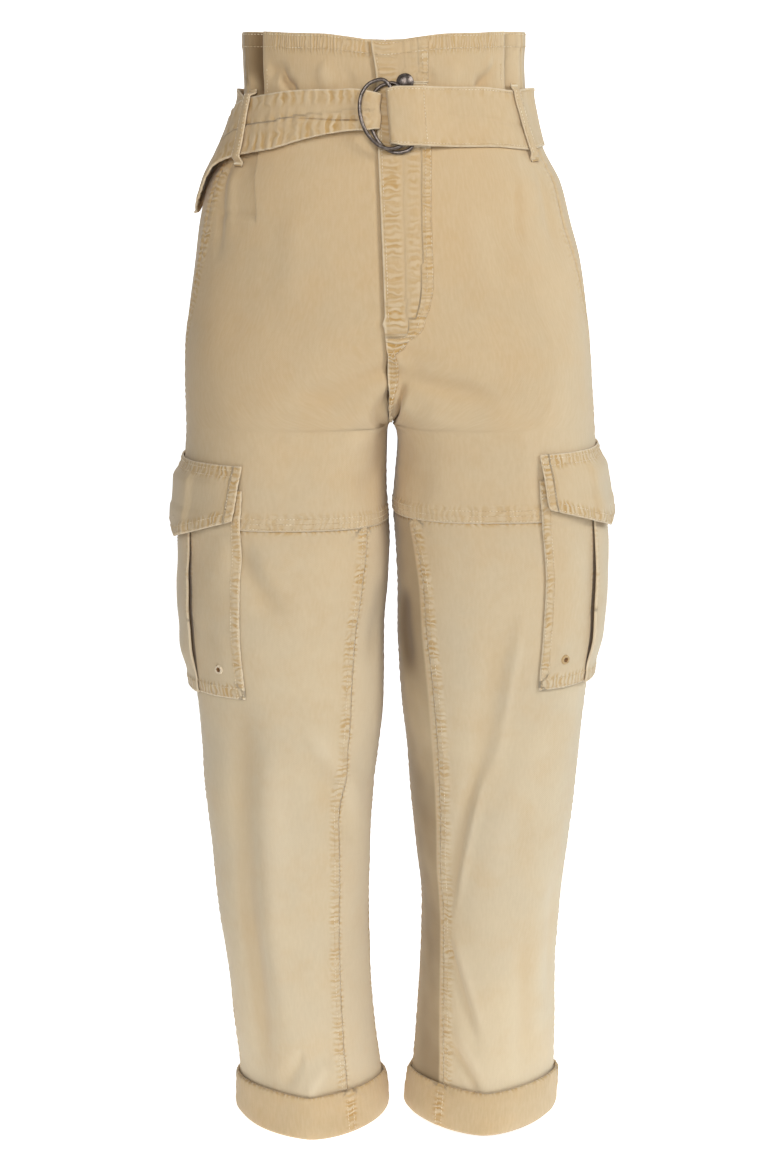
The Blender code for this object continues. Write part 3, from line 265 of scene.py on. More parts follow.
def running(steps):
    # the length so far along a chain of steps, from 0
    return np.concatenate([[0.0], np.cumsum(steps)])


def smoothSkin(side, across, level):
    across, level = np.broadcast_arrays(np.asarray(across, float), np.asarray(level, float))
    word = sideWord[side]
    outer = side * shellValue(word + "Outer", level)
    inner = side * shellValue(word + "Inner", level)
    roundIn = shellValue("roundIn", level)
    share = np.clip((form["riseBlend"] - level) / (form["riseBlend"] - form["crotch"]), 0.0, 1.0) ** 1.3
    reach = (outer - inner) / (1 + share)
    centre = inner + reach * share
    start = np.arccos(np.clip(share ** (roundIn / 2), 0.0, 1.0))
    forward = curveThrough(sideSeamForward, level)
    turn = start + (2 * math.pi - 2 * start) * across - forward * np.sin(math.pi * across) ** 2
    cosine, sine = np.cos(turn), np.sin(turn)
    exponent = 2 / np.where(cosine > 0, roundIn, shellValue("roundOut", level))
    depth = np.where(sine > 0, shellValue("front", level), shellValue("back", level))
    x = side * (centre - reach * power(cosine, exponent))
    return np.stack([x, -depth * power(sine, exponent), level], axis=-1)


def sideways(side, across, level):
    return smoothSkin(side, across + 0.004, level) - smoothSkin(side, across - 0.004, level)


def faceDirection(side, across, level):
    upwards = smoothSkin(side, across, level + 0.003) - smoothSkin(side, across, level - 0.003)
    return unit(side * np.cross(sideways(side, across, level), upwards))


def sizeAcross(side, across, level):
    # metres on the cloth for one whole unit of across
    return np.linalg.norm(sideways(side, across, level), axis=-1) / 0.008


def lifted(side, across, level, rise):
    return smoothSkin(side, across, level) + faceDirection(side, across, level) * rise[..., None]


def ripple(u, v, size, seed):
    # gentle uneven waves of about one size, from -1 to 1
    rng = np.random.default_rng(seed)
    waves, total = 7, 0.0
    for _ in range(waves):
        angle, phase = rng.uniform(0, 2 * math.pi, 2)
        length = size * rng.uniform(0.7, 1.5)
        total = total + np.sin(2 * math.pi * (u * math.cos(angle) + v * math.sin(angle)) / length + phase)
    return total / math.sqrt(waves) / 1.4


def foldLift(side, across, level):
    girth = 0.52
    lift = np.zeros(np.broadcast(across, level).shape)
    for foldSide, acrossFrom, levelFrom, acrossTo, levelTo, width, height in folds:
        if foldSide != side:
            continue
        run, drop = (acrossTo - acrossFrom) * girth, levelTo - levelFrom
        away, below = (across - acrossFrom) * girth, level - levelFrom
        length = math.hypot(run, drop)
        along = (away * run + below * drop) / length
        sway = 0.12 * width * np.sin(along / length * 5.0 + acrossFrom * 40)
        beside = (away * drop - below * run) / length + sway
        fade = ease(along / (0.3 * length)) * ease((length - along) / (0.35 * length))
        lift = lift + foldStrength * height * fade * near(beside, width)
    return lift


def drapeLift(side, across, level):
    # folds and the gentle unevenness of worn cloth
    around, seed = across * 0.5, 10 + side
    slow = ripple(around, level * 0.6, 0.085, seed) * 0.0007
    fine = ripple(around, level * 0.8, 0.026, seed + 4) * 0.00014
    calm = 0.35 + 0.65 * ease((-0.05 - level) / 0.2)
    return foldLift(side, across, level) + (slow + fine) * calm


def skin(side, across, level, lift):
    across, level, lift = np.broadcast_arrays(across, level, lift)
    return lifted(side, across, level, lift + drapeLift(side, across, level))


def bentLevel(across, level):
    # levels near the rim follow its line, and those near the turn-up its dip
    across = np.asarray(across, float)
    atRim = curveThrough(form["rimLine"], across) * ease((level - 0.02) / (form["rim"] - 0.02))
    top, bottom = form["hemBend"]
    return level + atRim - form["hemDip"] * np.sin(2 * math.pi * across) * ease((top - level) / (top - bottom))


def graded(start, end, step, fineSpots=(), fineStep=0.0012, fineReach=0.010):
    # places from start to end, closer together near the fine spots
    fine = np.linspace(start, end, 4000)
    size = np.full(len(fine), step)
    for spot in fineSpots:
        size = np.minimum(size, fineStep + (step - fineStep) * ease((np.abs(fine - spot) - fineReach) / 0.012))
    count = running(np.abs(np.diff(fine)) / ((size[1:] + size[:-1]) / 2))
    return np.interp(np.linspace(0, count[-1], round(count[-1]) + 1), count, fine)


# ---- seams: where they run, how they pull the cloth up ----

seamStyle = {
    # band: the doubled strip beside the seam, in metres from its line; rows: lines of stitches in it
    "side": {"band": (-0.0005, 0.0075), "raise": 0.0004, "groove": 0.0011, "pucker": 0.00035},
    "rim": {"band": (0.0, 0.0140), "raise": 0.0006, "groove": 0.0, "pucker": 0.00030,
            "rows": (0.0022, 0.0125)},
    "thigh": {"band": (0.0, 0.0140), "raise": 0.0011, "groove": 0.0, "pucker": 0.00030,
              "rows": (0.0022, 0.0070, 0.0118)},
    "thighUnder": {"band": (-0.004, 0.0), "raise": 0.0, "groove": 0.0006, "pucker": 0.00030},
    "innerLeg": {"band": (0.0002, 0.0085), "raise": 0.0008, "groove": 0.0006, "pucker": 0.00030,
                 "rows": (0.0018, 0.0066)},
    "innerLegUnder": {"band": (-0.006, 0.0), "raise": 0.0, "groove": 0.0005, "pucker": 0.00025},
    "inseam": {"band": (-0.001, 0.0060), "raise": 0.0002, "groove": 0.0009, "pucker": 0.00040},
    "backRows": (0.0022, 0.0080),
    "sideWorn": {-1: 0.9, 1: 0.2},
    "far": 0.08,  # stands for no seam nearby
}


def underThigh(side, nominal):
    # the lower cloth lies in shade along the lapped edge of the thigh seam
    return shadow["underThigh"] * near(nominal - form["thighSeam"][side] + 0.0007, 0.0011)


def innerSeam(side, level):
    return curveThrough(form["innerSeam"][side], level)


def puckers(along, seed, pitch=0.0088):
    # uneven little waves along a seam, from -1 to 1
    slow = 1.5 * np.sin(along / (0.71 * pitch) + seed) + 1.1 * np.sin(along / (1.63 * pitch) + 2 * seed)
    wave = np.sin(2 * math.pi * along / pitch + slow)
    strength = 0.65 + 0.35 * np.sin(along / (2.3 * pitch) + 3 * seed)
    return wave * strength


def seamsNear(side, across, level, names):
    # signed distance from each named seam, and the length along it
    size = sizeAcross(side, across, level)
    fromThigh = level - form["thighSeam"][side]
    fromInner = (across - innerSeam(side, level)) * size
    places = {
        "side": ((0.5 - across) * size, level),
        "sideBehind": ((across - 0.5) * size, level),
        "rim": (form["rim"] - level, across * 0.52),
        "thigh": (fromThigh, across * 0.5),
        "thighUnder": (-fromThigh, across * 0.5),
        "innerLeg": (fromInner, level),
        "innerLegUnder": (-fromInner, level),
        "inseam": (across * size, level),
        "inseamBehind": ((1.0 - across) * size, level),
    }
    return {name: places[name] for name in names}


def seamRelief(side, across, level, names):
    # height that the seams add, and the (along, distance) of the nearest one for the colour
    lift = np.zeros(np.broadcast(across, level).shape)
    nearest = np.full(lift.shape, seamStyle["far"])
    place = np.zeros(lift.shape)
    for name, (distance, along) in seamsNear(side, across, level, names).items():
        style = seamStyle[name.replace("Behind", "")]
        low, high = style["band"]
        outside = np.maximum(np.maximum(low - distance, distance - high), 0.0)
        plateau = ease((high + 0.0005 - distance) / 0.0010) * ease((distance - low + 0.0002) / 0.0006)
        reach = near(outside, 0.0045)
        lift = lift + style["raise"] * plateau - style["groove"] * near(distance, 0.0016)
        lift = lift + style["pucker"] * reach * puckers(along + 0 * distance, side * 1.3 + len(name))
        closer = outside < nearest
        nearest = np.where(closer, outside, nearest)
        place = np.where(closer, along + 0.37 * len(name), place)
    return lift, np.stack([place, nearest], axis=-1)


# ---- building cloth ----

pieces, grids = {}, {}


def meshData(name, mesh):
    data = bpy.data.meshes.new(name)
    mesh.to_mesh(data)
    mesh.free()
    return data


def placed(name, data):
    thing = bpy.data.objects.new(name, data)
    bpy.context.scene.collection.objects.link(thing)
    return thing


def packed(values):
    return np.ascontiguousarray(values, dtype=np.float32).ravel()


def clothSheet(name, points, flat, seam=None, crest=None, edge=None, worn=None, flip=False, thickness=None,
               offset=-1.0, closed=False):
    # one sheet from a grid of points, rows by columns, with its thickness
    rows, columns = points.shape[:2]
    facing = unit(np.cross(np.gradient(points, axis=1), np.gradient(points, axis=0))) * (-1 if flip else 1)
    outer = 0.0 if thickness is None or offset < 0 else thickness / 2
    grids[name] = (points + facing * outer, facing)
    mesh = bmesh.new()
    bmesh.ops.create_grid(mesh, x_segments=columns - 1, y_segments=rows - 1, size=1.0)
    data = meshData(name, mesh)
    data.vertices.foreach_set("co", packed(points))
    corners = np.empty(len(data.loops), dtype=np.int32)
    data.loops.foreach_get("vertex_index", corners)
    if seam is None:
        seam = np.stack([np.zeros((rows, columns)), np.full((rows, columns), seamStyle["far"])], axis=-1)
    for layerName, values in (("flat", flat), ("seam", seam)):
        layer = data.uv_layers.new(name=layerName)
        layer.uv.foreach_set("vector", packed(values.reshape(-1, 2)[corners]))
    # crest: the folds' height, with painted shade and painted highlights added for the colour
    for layerName, values, usual in (("crest", crest, 0.0), ("edge", edge, 0.05), ("worn", worn, 1.0)):
        layer = data.attributes.new(layerName, "FLOAT", "POINT")
        values = np.broadcast_to(usual if values is None else values, (rows, columns))
        layer.data.foreach_set("value", packed(values))
    if flip:
        data.flip_normals()
    if closed:
        mesh = bmesh.new()
        mesh.from_mesh(data)
        bmesh.ops.remove_doubles(mesh, verts=mesh.verts[:], dist=1e-6)
        mesh.to_mesh(data)
        mesh.free()
    data.shade_smooth()
    piece = placed(f"{name}_cloth", data)
    if thickness is not None:
        wall = piece.modifiers.new("thickness", "SOLIDIFY")
        wall.thickness = thickness
        wall.offset = offset
        wall.use_even_offset = False
    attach(piece, "root")
    pieces[name] = piece
    return piece


# ---- stitches: a row follows a line traced on a finished sheet ----

sewing = {"pitch": 0.0031, "length": 0.0024, "radius": 0.00040, "sunk": 0.00008}
stitchRows = {}


def trace(name, field, value, along="rows", where=True):
    # the line on a sheet where a field has this value, looked for in each column, or with "columns" in each row
    points, facing = grids[name]
    away = np.broadcast_to(field, points.shape[:2]) - value
    where = np.broadcast_to(where, points.shape[:2])
    if along == "columns":
        away, where = away.T, where.T
        points, facing = points.transpose(1, 0, 2), facing.transpose(1, 0, 2)
    crossing = (away[:-1] * away[1:] <= 0) & where[:-1]
    line = np.arange(away.shape[1])
    found = crossing.any(axis=0)
    index, line = crossing.argmax(axis=0)[found], line[found]
    before, after = away[index, line], away[index + 1, line]
    share = (before / np.where(before == after, 1.0, before - after))[:, None]
    place = points[index, line] * (1 - share) + points[index + 1, line] * share
    return place, unit(facing[index, line] * (1 - share) + facing[index + 1, line] * share)


def sew(name, line, pitch=None, turned=False, length=None):
    # turned stitches stand across their row, as in a bartack
    stitchRows.setdefault(name, []).append((line, pitch or sewing["pitch"], turned, length or sewing["length"]))


def sewRows(name, field, distances, along="rows", where=True):
    for distance in distances:
        sew(name, trace(name, field, distance, along, where))


def stitchPlaces(line, pitch):
    points, facing = line
    if len(points) < 2:
        return
    steps = np.linalg.norm(np.diff(points, axis=0), axis=1)
    reach = running(steps)
    for middle in np.arange(pitch / 2, reach[-1], pitch):
        cell = min(np.searchsorted(reach, middle, side="right") - 1, len(steps) - 1)
        if steps[cell] > 0.012:  # a jump between two parts of a row
            continue
        share = (middle - reach[cell]) / max(steps[cell], 1e-9)
        yield (points[cell] * (1 - share) + points[cell + 1] * share, unit(points[cell + 1] - points[cell]),
               unit(facing[cell] * (1 - share) + facing[cell + 1] * share))


def stitchPiece(name):
    mesh = bmesh.new()
    for line, pitch, turned, length in stitchRows[name]:
        for middle, direction, facing in stitchPlaces(line, pitch):
            beside = unit(np.cross(facing, direction))
            if turned:
                direction, beside = beside, -direction
            radius = sewing["radius"]
            matrix = Matrix.Identity(4)
            for column, axis in enumerate((direction * length / 2, beside * radius, facing * radius)):
                for row in range(3):
                    matrix[row][column] = axis[row]
            matrix.translation = Vector(middle + facing * (radius - sewing["sunk"] * 2))
            bmesh.ops.create_icosphere(mesh, subdivisions=1, radius=1.0, matrix=matrix)
    data = meshData(f"{name}_stitches", mesh)
    data.shade_smooth()
    piece = placed(f"{name}_stitches", data)
    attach(piece, "root")
    return piece


def dress(piece, material, slot, nodes=()):
    piece.data.materials.clear()
    piece.data.materials.append(material)
    if nodes:
        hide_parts(*nodes)


def wornAt(side, across, nominal):
    # how strongly the puckers show: the side seams are smooth above the belt and on the wearer's left
    atSide = ease((0.034 - np.abs(across - 0.5) * sizeAcross(side, across, nominal)) / 0.010)
    belowBelt = ease((-0.020 - nominal) / 0.030)
    onLeg = ease((-0.470 - nominal) / 0.060)
    besideSeam = 1 - atSide * (1 - belowBelt * seamStyle["sideWorn"][side])
    return besideSeam * (0.60 + 0.40 * belowBelt) * (1 - 0.28 * onLeg)


def drawIn(points, distance):
    # pull the first and last columns back from the seam
    for edge, inner in ((0, 1), (-1, -2)):
        points[:, edge] += unit(points[:, inner] - points[:, edge]) * distance


def keepOffMiddle(side, points, level):
    least = side * shellValue("rightInner", level) + cloth["gap"]
    held = side * np.maximum(side * points[..., 0], least)
    points[..., 0] = np.where(level >= form["crotch"] - 1e-6, held, points[..., 0])


def crestOf(side, across, level):
    return np.maximum(drapeLift(side, across, level), cloth["noTrough"])


def shellPanel(name, side, across, nominal, seamNames, raised, edge, shade):
    level = bentLevel(across, nominal)
    relief, seam = seamRelief(side, across, nominal, seamNames)
    points = skin(side, across, level, relief + raised)
    drawIn(points, cloth["gap"])
    keepOffMiddle(side, points, level)
    crest = crestOf(side, across, level) - shade
    flat = np.stack([across * cloth["flatHalf"] * side, nominal + 0 * across], axis=-1)
    worn = wornAt(side, across, nominal)
    clothSheet(name, points, flat, seam, crest, edge, worn, flip=side < 0, thickness=cloth["thickness"])


# ---- upper fronts with their pleats ----

pleat = {
    "line": ((0.075, 0.386), (0.020, 0.392), (-0.034, 0.348), (-0.090, 0.294), (-0.125, 0.280)),
    "lap": 0.012,
    "radius": ((-0.094, 0.0003), (-0.060, 0.0006), (-0.036, 0.0009), (0.015, 0.0010), (0.040, 0.0016),
               (0.072, 0.0021)),
    "end": {-1: (-0.034, -0.094), 1: (0.012, -0.022)},  # starts to open, is gone
    "bendSteps": 5,
    "release": (0.35, 0.97),  # shares of the way to the side seam: still low, back on the form
    # level, how far the cloth sinks behind the fold
    "hollow": {-1: ((0.020, 0.0), (0.036, 0.010), (0.058, 0.014), (0.072, 0.011)),
               1: ((0.020, 0.0), (0.036, 0.003), (0.058, 0.005), (0.072, 0.004))},
    "cloth": 0.0012,
    "edgeRow": 0.0036,
    "edgeRowLevels": {-1: (0.012, 0.044), 1: (0.030, 0.046)},
}


def flyLap(nominal):
    # how far the fly laps over the front middle, onto the wearer's right
    return curveThrough(form["flyLap"], nominal)


def pleatPath(side, nominal):
    # the pleat's section at one level: distance along, height and slope
    opening, gone = pleat["end"][side]
    left = float(np.clip((nominal - gone) / (opening - gone), 0.0, 1.0))
    angle = math.pi * ease(4 * left)
    lap = pleat["lap"] * ease(left) + 0.0004
    radius = float(curveThrough(pleat["radius"], nominal)) * (0.25 + 0.75 * left)
    bend = max(radius * angle / pleat["bendSteps"], 0.0003)
    turns = np.linspace(0.0, angle, pleat["bendSteps"] + 1)
    slopes = np.concatenate([turns, turns[::-1]])
    steps = [bend] * pleat["bendSteps"] + [max(lap, bend)] + [bend] * pleat["bendSteps"]
    halfway = (slopes[1:] + slopes[:-1]) / 2
    along = running(np.cos(halfway) * steps)
    height = running(-np.sin(halfway) * steps)
    return along, height, slopes


# the line along the belt's lower edge where it lies in its own shadow: across, level
underBelt = {
    -1: ((0.0, -0.0120), (0.029, -0.0125), (0.057, -0.0127), (0.102, -0.0150), (0.192, -0.0211),
         (0.305, -0.0295), (0.427, -0.0352), (0.5, -0.0415)),
    1: ((0.0, -0.0265), (0.5, -0.0265)),
}


def pleatedRows(side, levels):
    # the upper front's places row by row: flat up to the pleat, folded, and back on the form behind it
    frontShare = graded(0.0, 1.0, 0.018, (0.0,), 0.010, 0.04)[:-1]
    sideShare = graded(0.0, 1.0, 0.045, (1.0,), 0.022, 0.10)
    rows = {"across": [], "depth": [], "slope": [], "beyond": []}
    for nominal in levels:
        line = float(curveThrough(pleat["line"], nominal))
        along, height, slopes = pleatPath(side, nominal)
        size = float(sizeAcross(side, line, nominal))
        folded = line + along / size
        beyond = folded[-1] + 0.0022 / size
        across = np.concatenate([frontShare * line, folded, beyond + (0.5 - beyond) * sideShare])
        beyondFold = (across - folded[-1]) * size
        low, far = (share * (0.5 - folded[-1]) * size for share in pleat["release"])
        sink = float(curveThrough(pleat["hollow"][side], nominal))
        depth = (height[-1] - sink * ease(beyondFold / 0.012)) * (1 - ease((beyondFold - low) / (far - low)))
        depth[:len(frontShare)] = 0.0
        depth[len(frontShare):len(frontShare) + len(height)] = height
        slope = np.zeros(len(across))
        slope[len(frontShare):len(frontShare) + len(height)] = slopes
        for key, value in (("across", across), ("depth", depth), ("slope", slope), ("beyond", beyondFold)):
            rows[key].append(value)
    behind = np.arange(len(across)) >= len(frontShare) + pleat["bendSteps"] + 2
    return *(np.array(rows[key]) for key in rows), behind


def upperFrontCrest(side, across, nominal, depth, beyondFolds, behind, besideLap):
    # the folds for the colour, with the painted shadows, and a painted highlight beyond the pleat on the left
    # front
    crest = crestOf(side, across, bentLevel(across, nominal))
    if side < 0:
        lit = ease((beyondFolds - 0.020) / 0.018) * (1 - ease((nominal - 0.026) / 0.016))
        inShade = behind * ease((nominal - 0.010) / 0.012) * (1 - 0.45 * lit)
        crest = crest + 0.3 * depth - shadow["behindFold"] * inShade
        crest = crest - shadow["flyEdge"] * near(besideLap + 0.0004, 0.0017)
    else:
        # a painted highlight on the strip beyond the pleat
        crest = crest + 0.0020 * ease(beyondFolds / 0.004)
    fromBelt = nominal - curveThrough(underBelt[side], across)
    return crest - shadow["underBelt"] * near(fromBelt + 0.0009, 0.0013)


def upperFront(side):
    name = f"front_{sideWord[side]}_upper"
    seamLevel = form["thighSeam"][side]
    levels = graded(seamLevel, form["rim"], cloth["step"], (seamLevel + 0.007, form["rim"] - 0.008), 0.0018)
    across, depth, slope, beyondFolds, behind = pleatedRows(side, levels)
    nominal = levels[:, None] + 0 * across
    level = bentLevel(across, nominal)
    relief, seam = seamRelief(side, across, nominal, ("side", "rim", "thigh"))
    besideLap = across * sizeAcross(side, across, nominal) - flyLap(nominal)
    # the right front runs in under the fly's edge
    tuck = -0.0022 * (1 - ease((besideLap + 0.001) / 0.007)) if side < 0 else 0.0
    facing = faceDirection(side, across, level)
    tangent = unit(sideways(side, across, level))
    turned = facing * np.cos(slope)[..., None] + tangent * np.sin(slope)[..., None]
    calm = 1 - ease(np.abs(slope) / 0.4)
    points = skin(side, across, level, depth + tuck - pleat["cloth"] / 2) + turned * (relief * calm)[..., None]
    drawIn(points, cloth["gap"])
    keepOffMiddle(side, points, level)
    crest = upperFrontCrest(side, across, nominal, depth, beyondFolds, behind, besideLap)
    flat = np.stack([across * cloth["flatHalf"] * side, nominal], axis=-1)
    # the puckers of the thigh seam show most near the pocket and near the inseam
    between = ease((0.34 - across) / 0.05) * ease((across - 0.05) / 0.05)
    worn = wornAt(side, across, nominal) * (1 - 0.62 * ease((seamLevel + 0.030 - nominal) / 0.012) * between)
    edge = np.minimum(nominal - seamLevel, (form["rim"] - nominal) * 1.5)
    clothSheet(name, points, flat, seam, crest, edge, worn, flip=side < 0, thickness=pleat["cloth"], offset=0.0)
    plain = np.abs(slope) < 0.3
    sewRows(name, form["rim"] - nominal, seamStyle["rim"]["rows"], where=plain)
    sewRows(name, nominal - seamLevel, seamStyle["thigh"]["rows"], where=plain)
    beside = (curveThrough(pleat["line"], nominal) - across) * sizeAcross(side, across, nominal)
    lowest, highest = pleat["edgeRowLevels"][side]
    sewRows(name, beside, (pleat["edgeRow"],), "columns", (nominal > lowest) & (nominal < highest))


# ---- lower fronts, inner leg panels and backs ----

def legLevels(side):
    # from the leg's end to the edge tucked under the thigh seam
    seamLevel = form["thighSeam"][side]
    return graded(form["legEnd"][side], seamLevel + form["tuckLength"], cloth["step"], (seamLevel,), 0.0018)


def tucked(side, nominal):
    return -form["tuckDepth"] * ease((nominal - form["thighSeam"][side]) / 0.004)


def lowerFront(side):
    name = f"front_{sideWord[side]}_lower"
    levels = legLevels(side)
    share = graded(0.0, 1.0, 0.0185, (0.0, 1.0), 0.009, 0.06)
    start = innerSeam(side, levels)[:, None]
    across = start + (0.5 - start) * share[None, :]
    nominal = levels[:, None] + 0 * across
    beside = (across - start) * sizeAcross(side, across, nominal)
    shellPanel(name, side, across, nominal, ("innerLeg", "side", "thighUnder"), tucked(side, nominal), beside,
               underThigh(side, nominal))
    shown = (nominal < form["thighSeam"][side]) & (nominal > form["legEnd"][side] + form["underCuff"])
    sewRows(name, beside, seamStyle["innerLeg"]["rows"], "columns", shown)


def innerFront(side):
    name = f"front_{sideWord[side]}_inner"
    levels = legLevels(side)
    share = graded(0.0, 1.0, 0.05, (0.0, 1.0), 0.026, 0.10)
    across = innerSeam(side, levels)[:, None] * share[None, :]
    nominal = levels[:, None] + 0 * across
    # the left one is painted with the shade of the right leg, up to its seam; the right one gets a faint
    # painted highlight
    shade = shadow["betweenLegs"][side] * (ease((1.0 - share) / 0.10) if side > 0 else 1.0)
    shellPanel(name, side, across, nominal, ("innerLegUnder", "inseam", "thighUnder"), tucked(side, nominal),
               None, shade + underThigh(side, nominal))


def back(side):
    name = f"back_{sideWord[side]}"
    levels = graded(form["legEnd"][side], form["rim"], cloth["step"] * 1.12, (form["rim"] - 0.006,), 0.0020)
    share = graded(0.5, 1.0, 0.0066, (0.5, 1.0), 0.0036, 0.016)
    across = share[None, :] + 0 * levels[:, None]
    nominal = levels[:, None] + 0 * across
    besideSeam = (across - 0.5) * sizeAcross(side, across, nominal)
    # the pleat's shadow runs on over the right side seam
    shade = shadow["behindFold"] * (side < 0) * (1 - ease((besideSeam - 0.004) / 0.022))
    shade = shade * ease((nominal - 0.016) / 0.016)
    shellPanel(name, side, across, nominal, ("sideBehind", "inseamBehind", "rim"), 0.0,
               (form["rim"] - nominal) * 1.5, shade)
    sewRows(name, form["rim"] - nominal, seamStyle["rim"]["rows"])
    if side > 0:  # the centre back seam is felled onto the left back
        beside = (1.0 - across) * sizeAcross(side, across, nominal)
        sewRows(name, beside, seamStyle["backRows"], "columns",
                (nominal > form["crotch"] + 0.01) & (nominal < form["rim"] - 0.016))


for side in (-1, 1):
    upperFront(side)
    lowerFront(side)
    innerFront(side)
    back(side)
print("panels built")


# ---- sections: a strip of cloth bent in its cross-section ----

def section(moves, start):
    # ("run", length, steps) goes straight on, ("turn", degrees, radius, steps) bends; gives x, height and slope
    x, height, slope = start
    path = [start]
    for kind, size, *rest in moves:
        if kind == "run":
            for _ in range(rest[0]):
                x += math.cos(slope) * size / rest[0]
                height += math.sin(slope) * size / rest[0]
                path.append((x, height, slope))
        else:
            radius, steps = rest
            turn = math.radians(size) / steps
            for _ in range(steps):
                step = abs(turn) * radius
                x += math.cos(slope + turn / 2) * step
                height += math.sin(slope + turn / 2) * step
                slope += turn
                path.append((x, height, slope))
    return np.array(path).T


def softEdge(distance, width):
    # 0 on an edge, 1 from this far inside it, round like a folded edge
    return np.sqrt(np.clip(1 - (1 - np.clip(distance / width, 0.0, 1.0)) ** 2, 0.0, 1.0))


# ---- fly: stitched facing on the left front, the felled front rise below it ----

fly = {
    "cloth": 0.0011,
    "halfWaist": 0.43,  # metres for one unit of across, for the colour of its folds
    "width": 0.0400,
    "straight": -0.140,
    "end": -0.198,
    "strip": 0.0115,
    "lift": 0.0016,
    "jRows": (0.0010, 0.0062),
    "riseRows": (0.0018, 0.0062),
    "edgeRow": 0.0026,
    "bartack": -0.191,
    "buttonhole": (0.010, 0.037),
}
button = {
    "level": 0.0310,
    "sunk": 0.0018,
    "profile": ((0.0, 0.0041), (0.0018, 0.0040), (0.0036, 0.0036), (0.0052, 0.0030), (0.0062, 0.0024),
                (0.0066, 0.0022), (0.0072, 0.0021), (0.0077, 0.0016), (0.0078, 0.0010), (0.0074, 0.0004),
                (0.0060, 0.0), (0.0, 0.0)),
}


def flyEdge(nominal):
    # how far the stitched line is from the front middle
    drop = np.clip((fly["straight"] - nominal) / (fly["straight"] - fly["end"]), 0.0, 1.0)
    width = fly["width"] * (1 - 0.06 * ease((nominal + 0.02) / 0.09))
    bowed = width * np.sqrt(np.maximum(1 - drop ** 2.2, 0.0))
    strip = fly["strip"] * (1 - 0.75 * ease((fly["end"] - nominal) / 0.075) ** 1.5)
    return np.maximum(bowed, strip)


def flySurface(u, nominal):
    # u is the distance from the front middle, in metres, below 0 on the wearer's right
    edge = flyEdge(nominal)
    curve = nominal > fly["end"]
    size = sizeAcross(1, 0.04, nominal)
    inside = edge - u
    body = fly["lift"] * np.where(curve, 0.30 + 0.70 * ease(inside / 0.004), ease((inside + 0.0002) / 0.0012))
    jLine = near(inside - 0.0028, 0.0022) * curve
    besideRow = near(np.maximum(inside - 0.007, 0), 0.006)
    body = body - 0.0005 * jLine + 0.00045 * besideRow * puckers(nominal, 2.1, 0.0105)
    body = body + 0.00025 * near(u, 0.006) * puckers(nominal, 4.0, 0.0085)
    waves = 0.0005 * np.sin(nominal / 0.0046 + 2.0 * np.sin(nominal / 0.021))
    waves = waves * ease(u / 0.008) * ease(inside / 0.01)
    across = np.abs(u) / size
    level = bentLevel(across, nominal)
    relief, _ = seamRelief(1, across, nominal, ("rim",))
    rise = body + waves * curve + relief + 0.0009 + drapeLift(1, np.maximum(u, 0.0) / size, level)
    return np.where((u < 0)[..., None], *(lifted(half, across, level, rise) for half in (-1, 1)))


def flyPiece():
    levels = graded(form["crotch"] + 0.006, form["rim"] - 0.0003, 0.0021)
    share = graded(0.0, 1.0, 0.040, (0.0, 1.0), 0.022, 0.08)
    nominal = levels[:, None] + 0 * share[None, :]
    edge, lap = flyEdge(nominal), flyLap(nominal)
    u = (edge + lap) * share[None, :] - lap
    points = flySurface(u, nominal)
    jDistance = np.where(nominal > fly["end"], edge - u, 0.0)
    # three columns of puckers, each with its own rhythm
    columns = np.stack([np.abs(u + lap - 0.0076) - 0.0036,
                        np.abs(u - 0.0225) - 0.0022 + 0.003 * (nominal > 0.0),
                        np.abs(jDistance - 0.0036) - 0.0024 - 0.005 * ease((-0.120 - nominal) / 0.05)])
    column = columns.argmin(axis=0)
    along = nominal * np.array([1.0, 0.8, 1.2])[column] + np.array([0.0, 0.31, 0.57])[column]
    seam = np.stack([along, np.maximum(columns.min(axis=0), 0.0)], axis=-1)
    flat = np.stack([u, nominal], axis=-1)
    worn = np.array([0.80, 0.55, 0.85])[column] + 0.35 * ease((-0.150 - nominal) / 0.03)
    worn = worn * (1 - 0.45 * ease((nominal - 0.010) / 0.020))
    crest = drapeLift(1, np.maximum(u, 0.0) / fly["halfWaist"], nominal)
    clothSheet("fly", points, flat, seam, crest, np.minimum(u + lap, 0.05), worn, thickness=fly["cloth"])
    inRim = nominal > form["rim"] - form["rimHem"]
    sewRows("fly", u + lap, (fly["edgeRow"],), "columns", ~inRim & (nominal > fly["bartack"] + 0.004))
    sewRows("fly", edge - u, fly["jRows"], "columns", ~inRim & (nominal > fly["end"]))
    sewRows("fly", form["rim"] - nominal, seamStyle["rim"]["rows"])
    sewRows("fly", edge - u, fly["riseRows"], "columns", nominal < fly["end"])
    for nearby in (0.0, 0.0011):
        sew("fly", trace("fly", nominal, fly["bartack"] - nearby, "rows", u < 0.009), 0.0008, True, 0.0013)
    low, high = fly["buttonhole"]
    for nearby in (-0.0008, 0.0008):
        row = trace("fly", nominal, button["level"] - 0.001 + nearby, "rows", (u > low) & (u < high))
        sew("fly", row, 0.0007, True, 0.0015)


# ---- belt ----

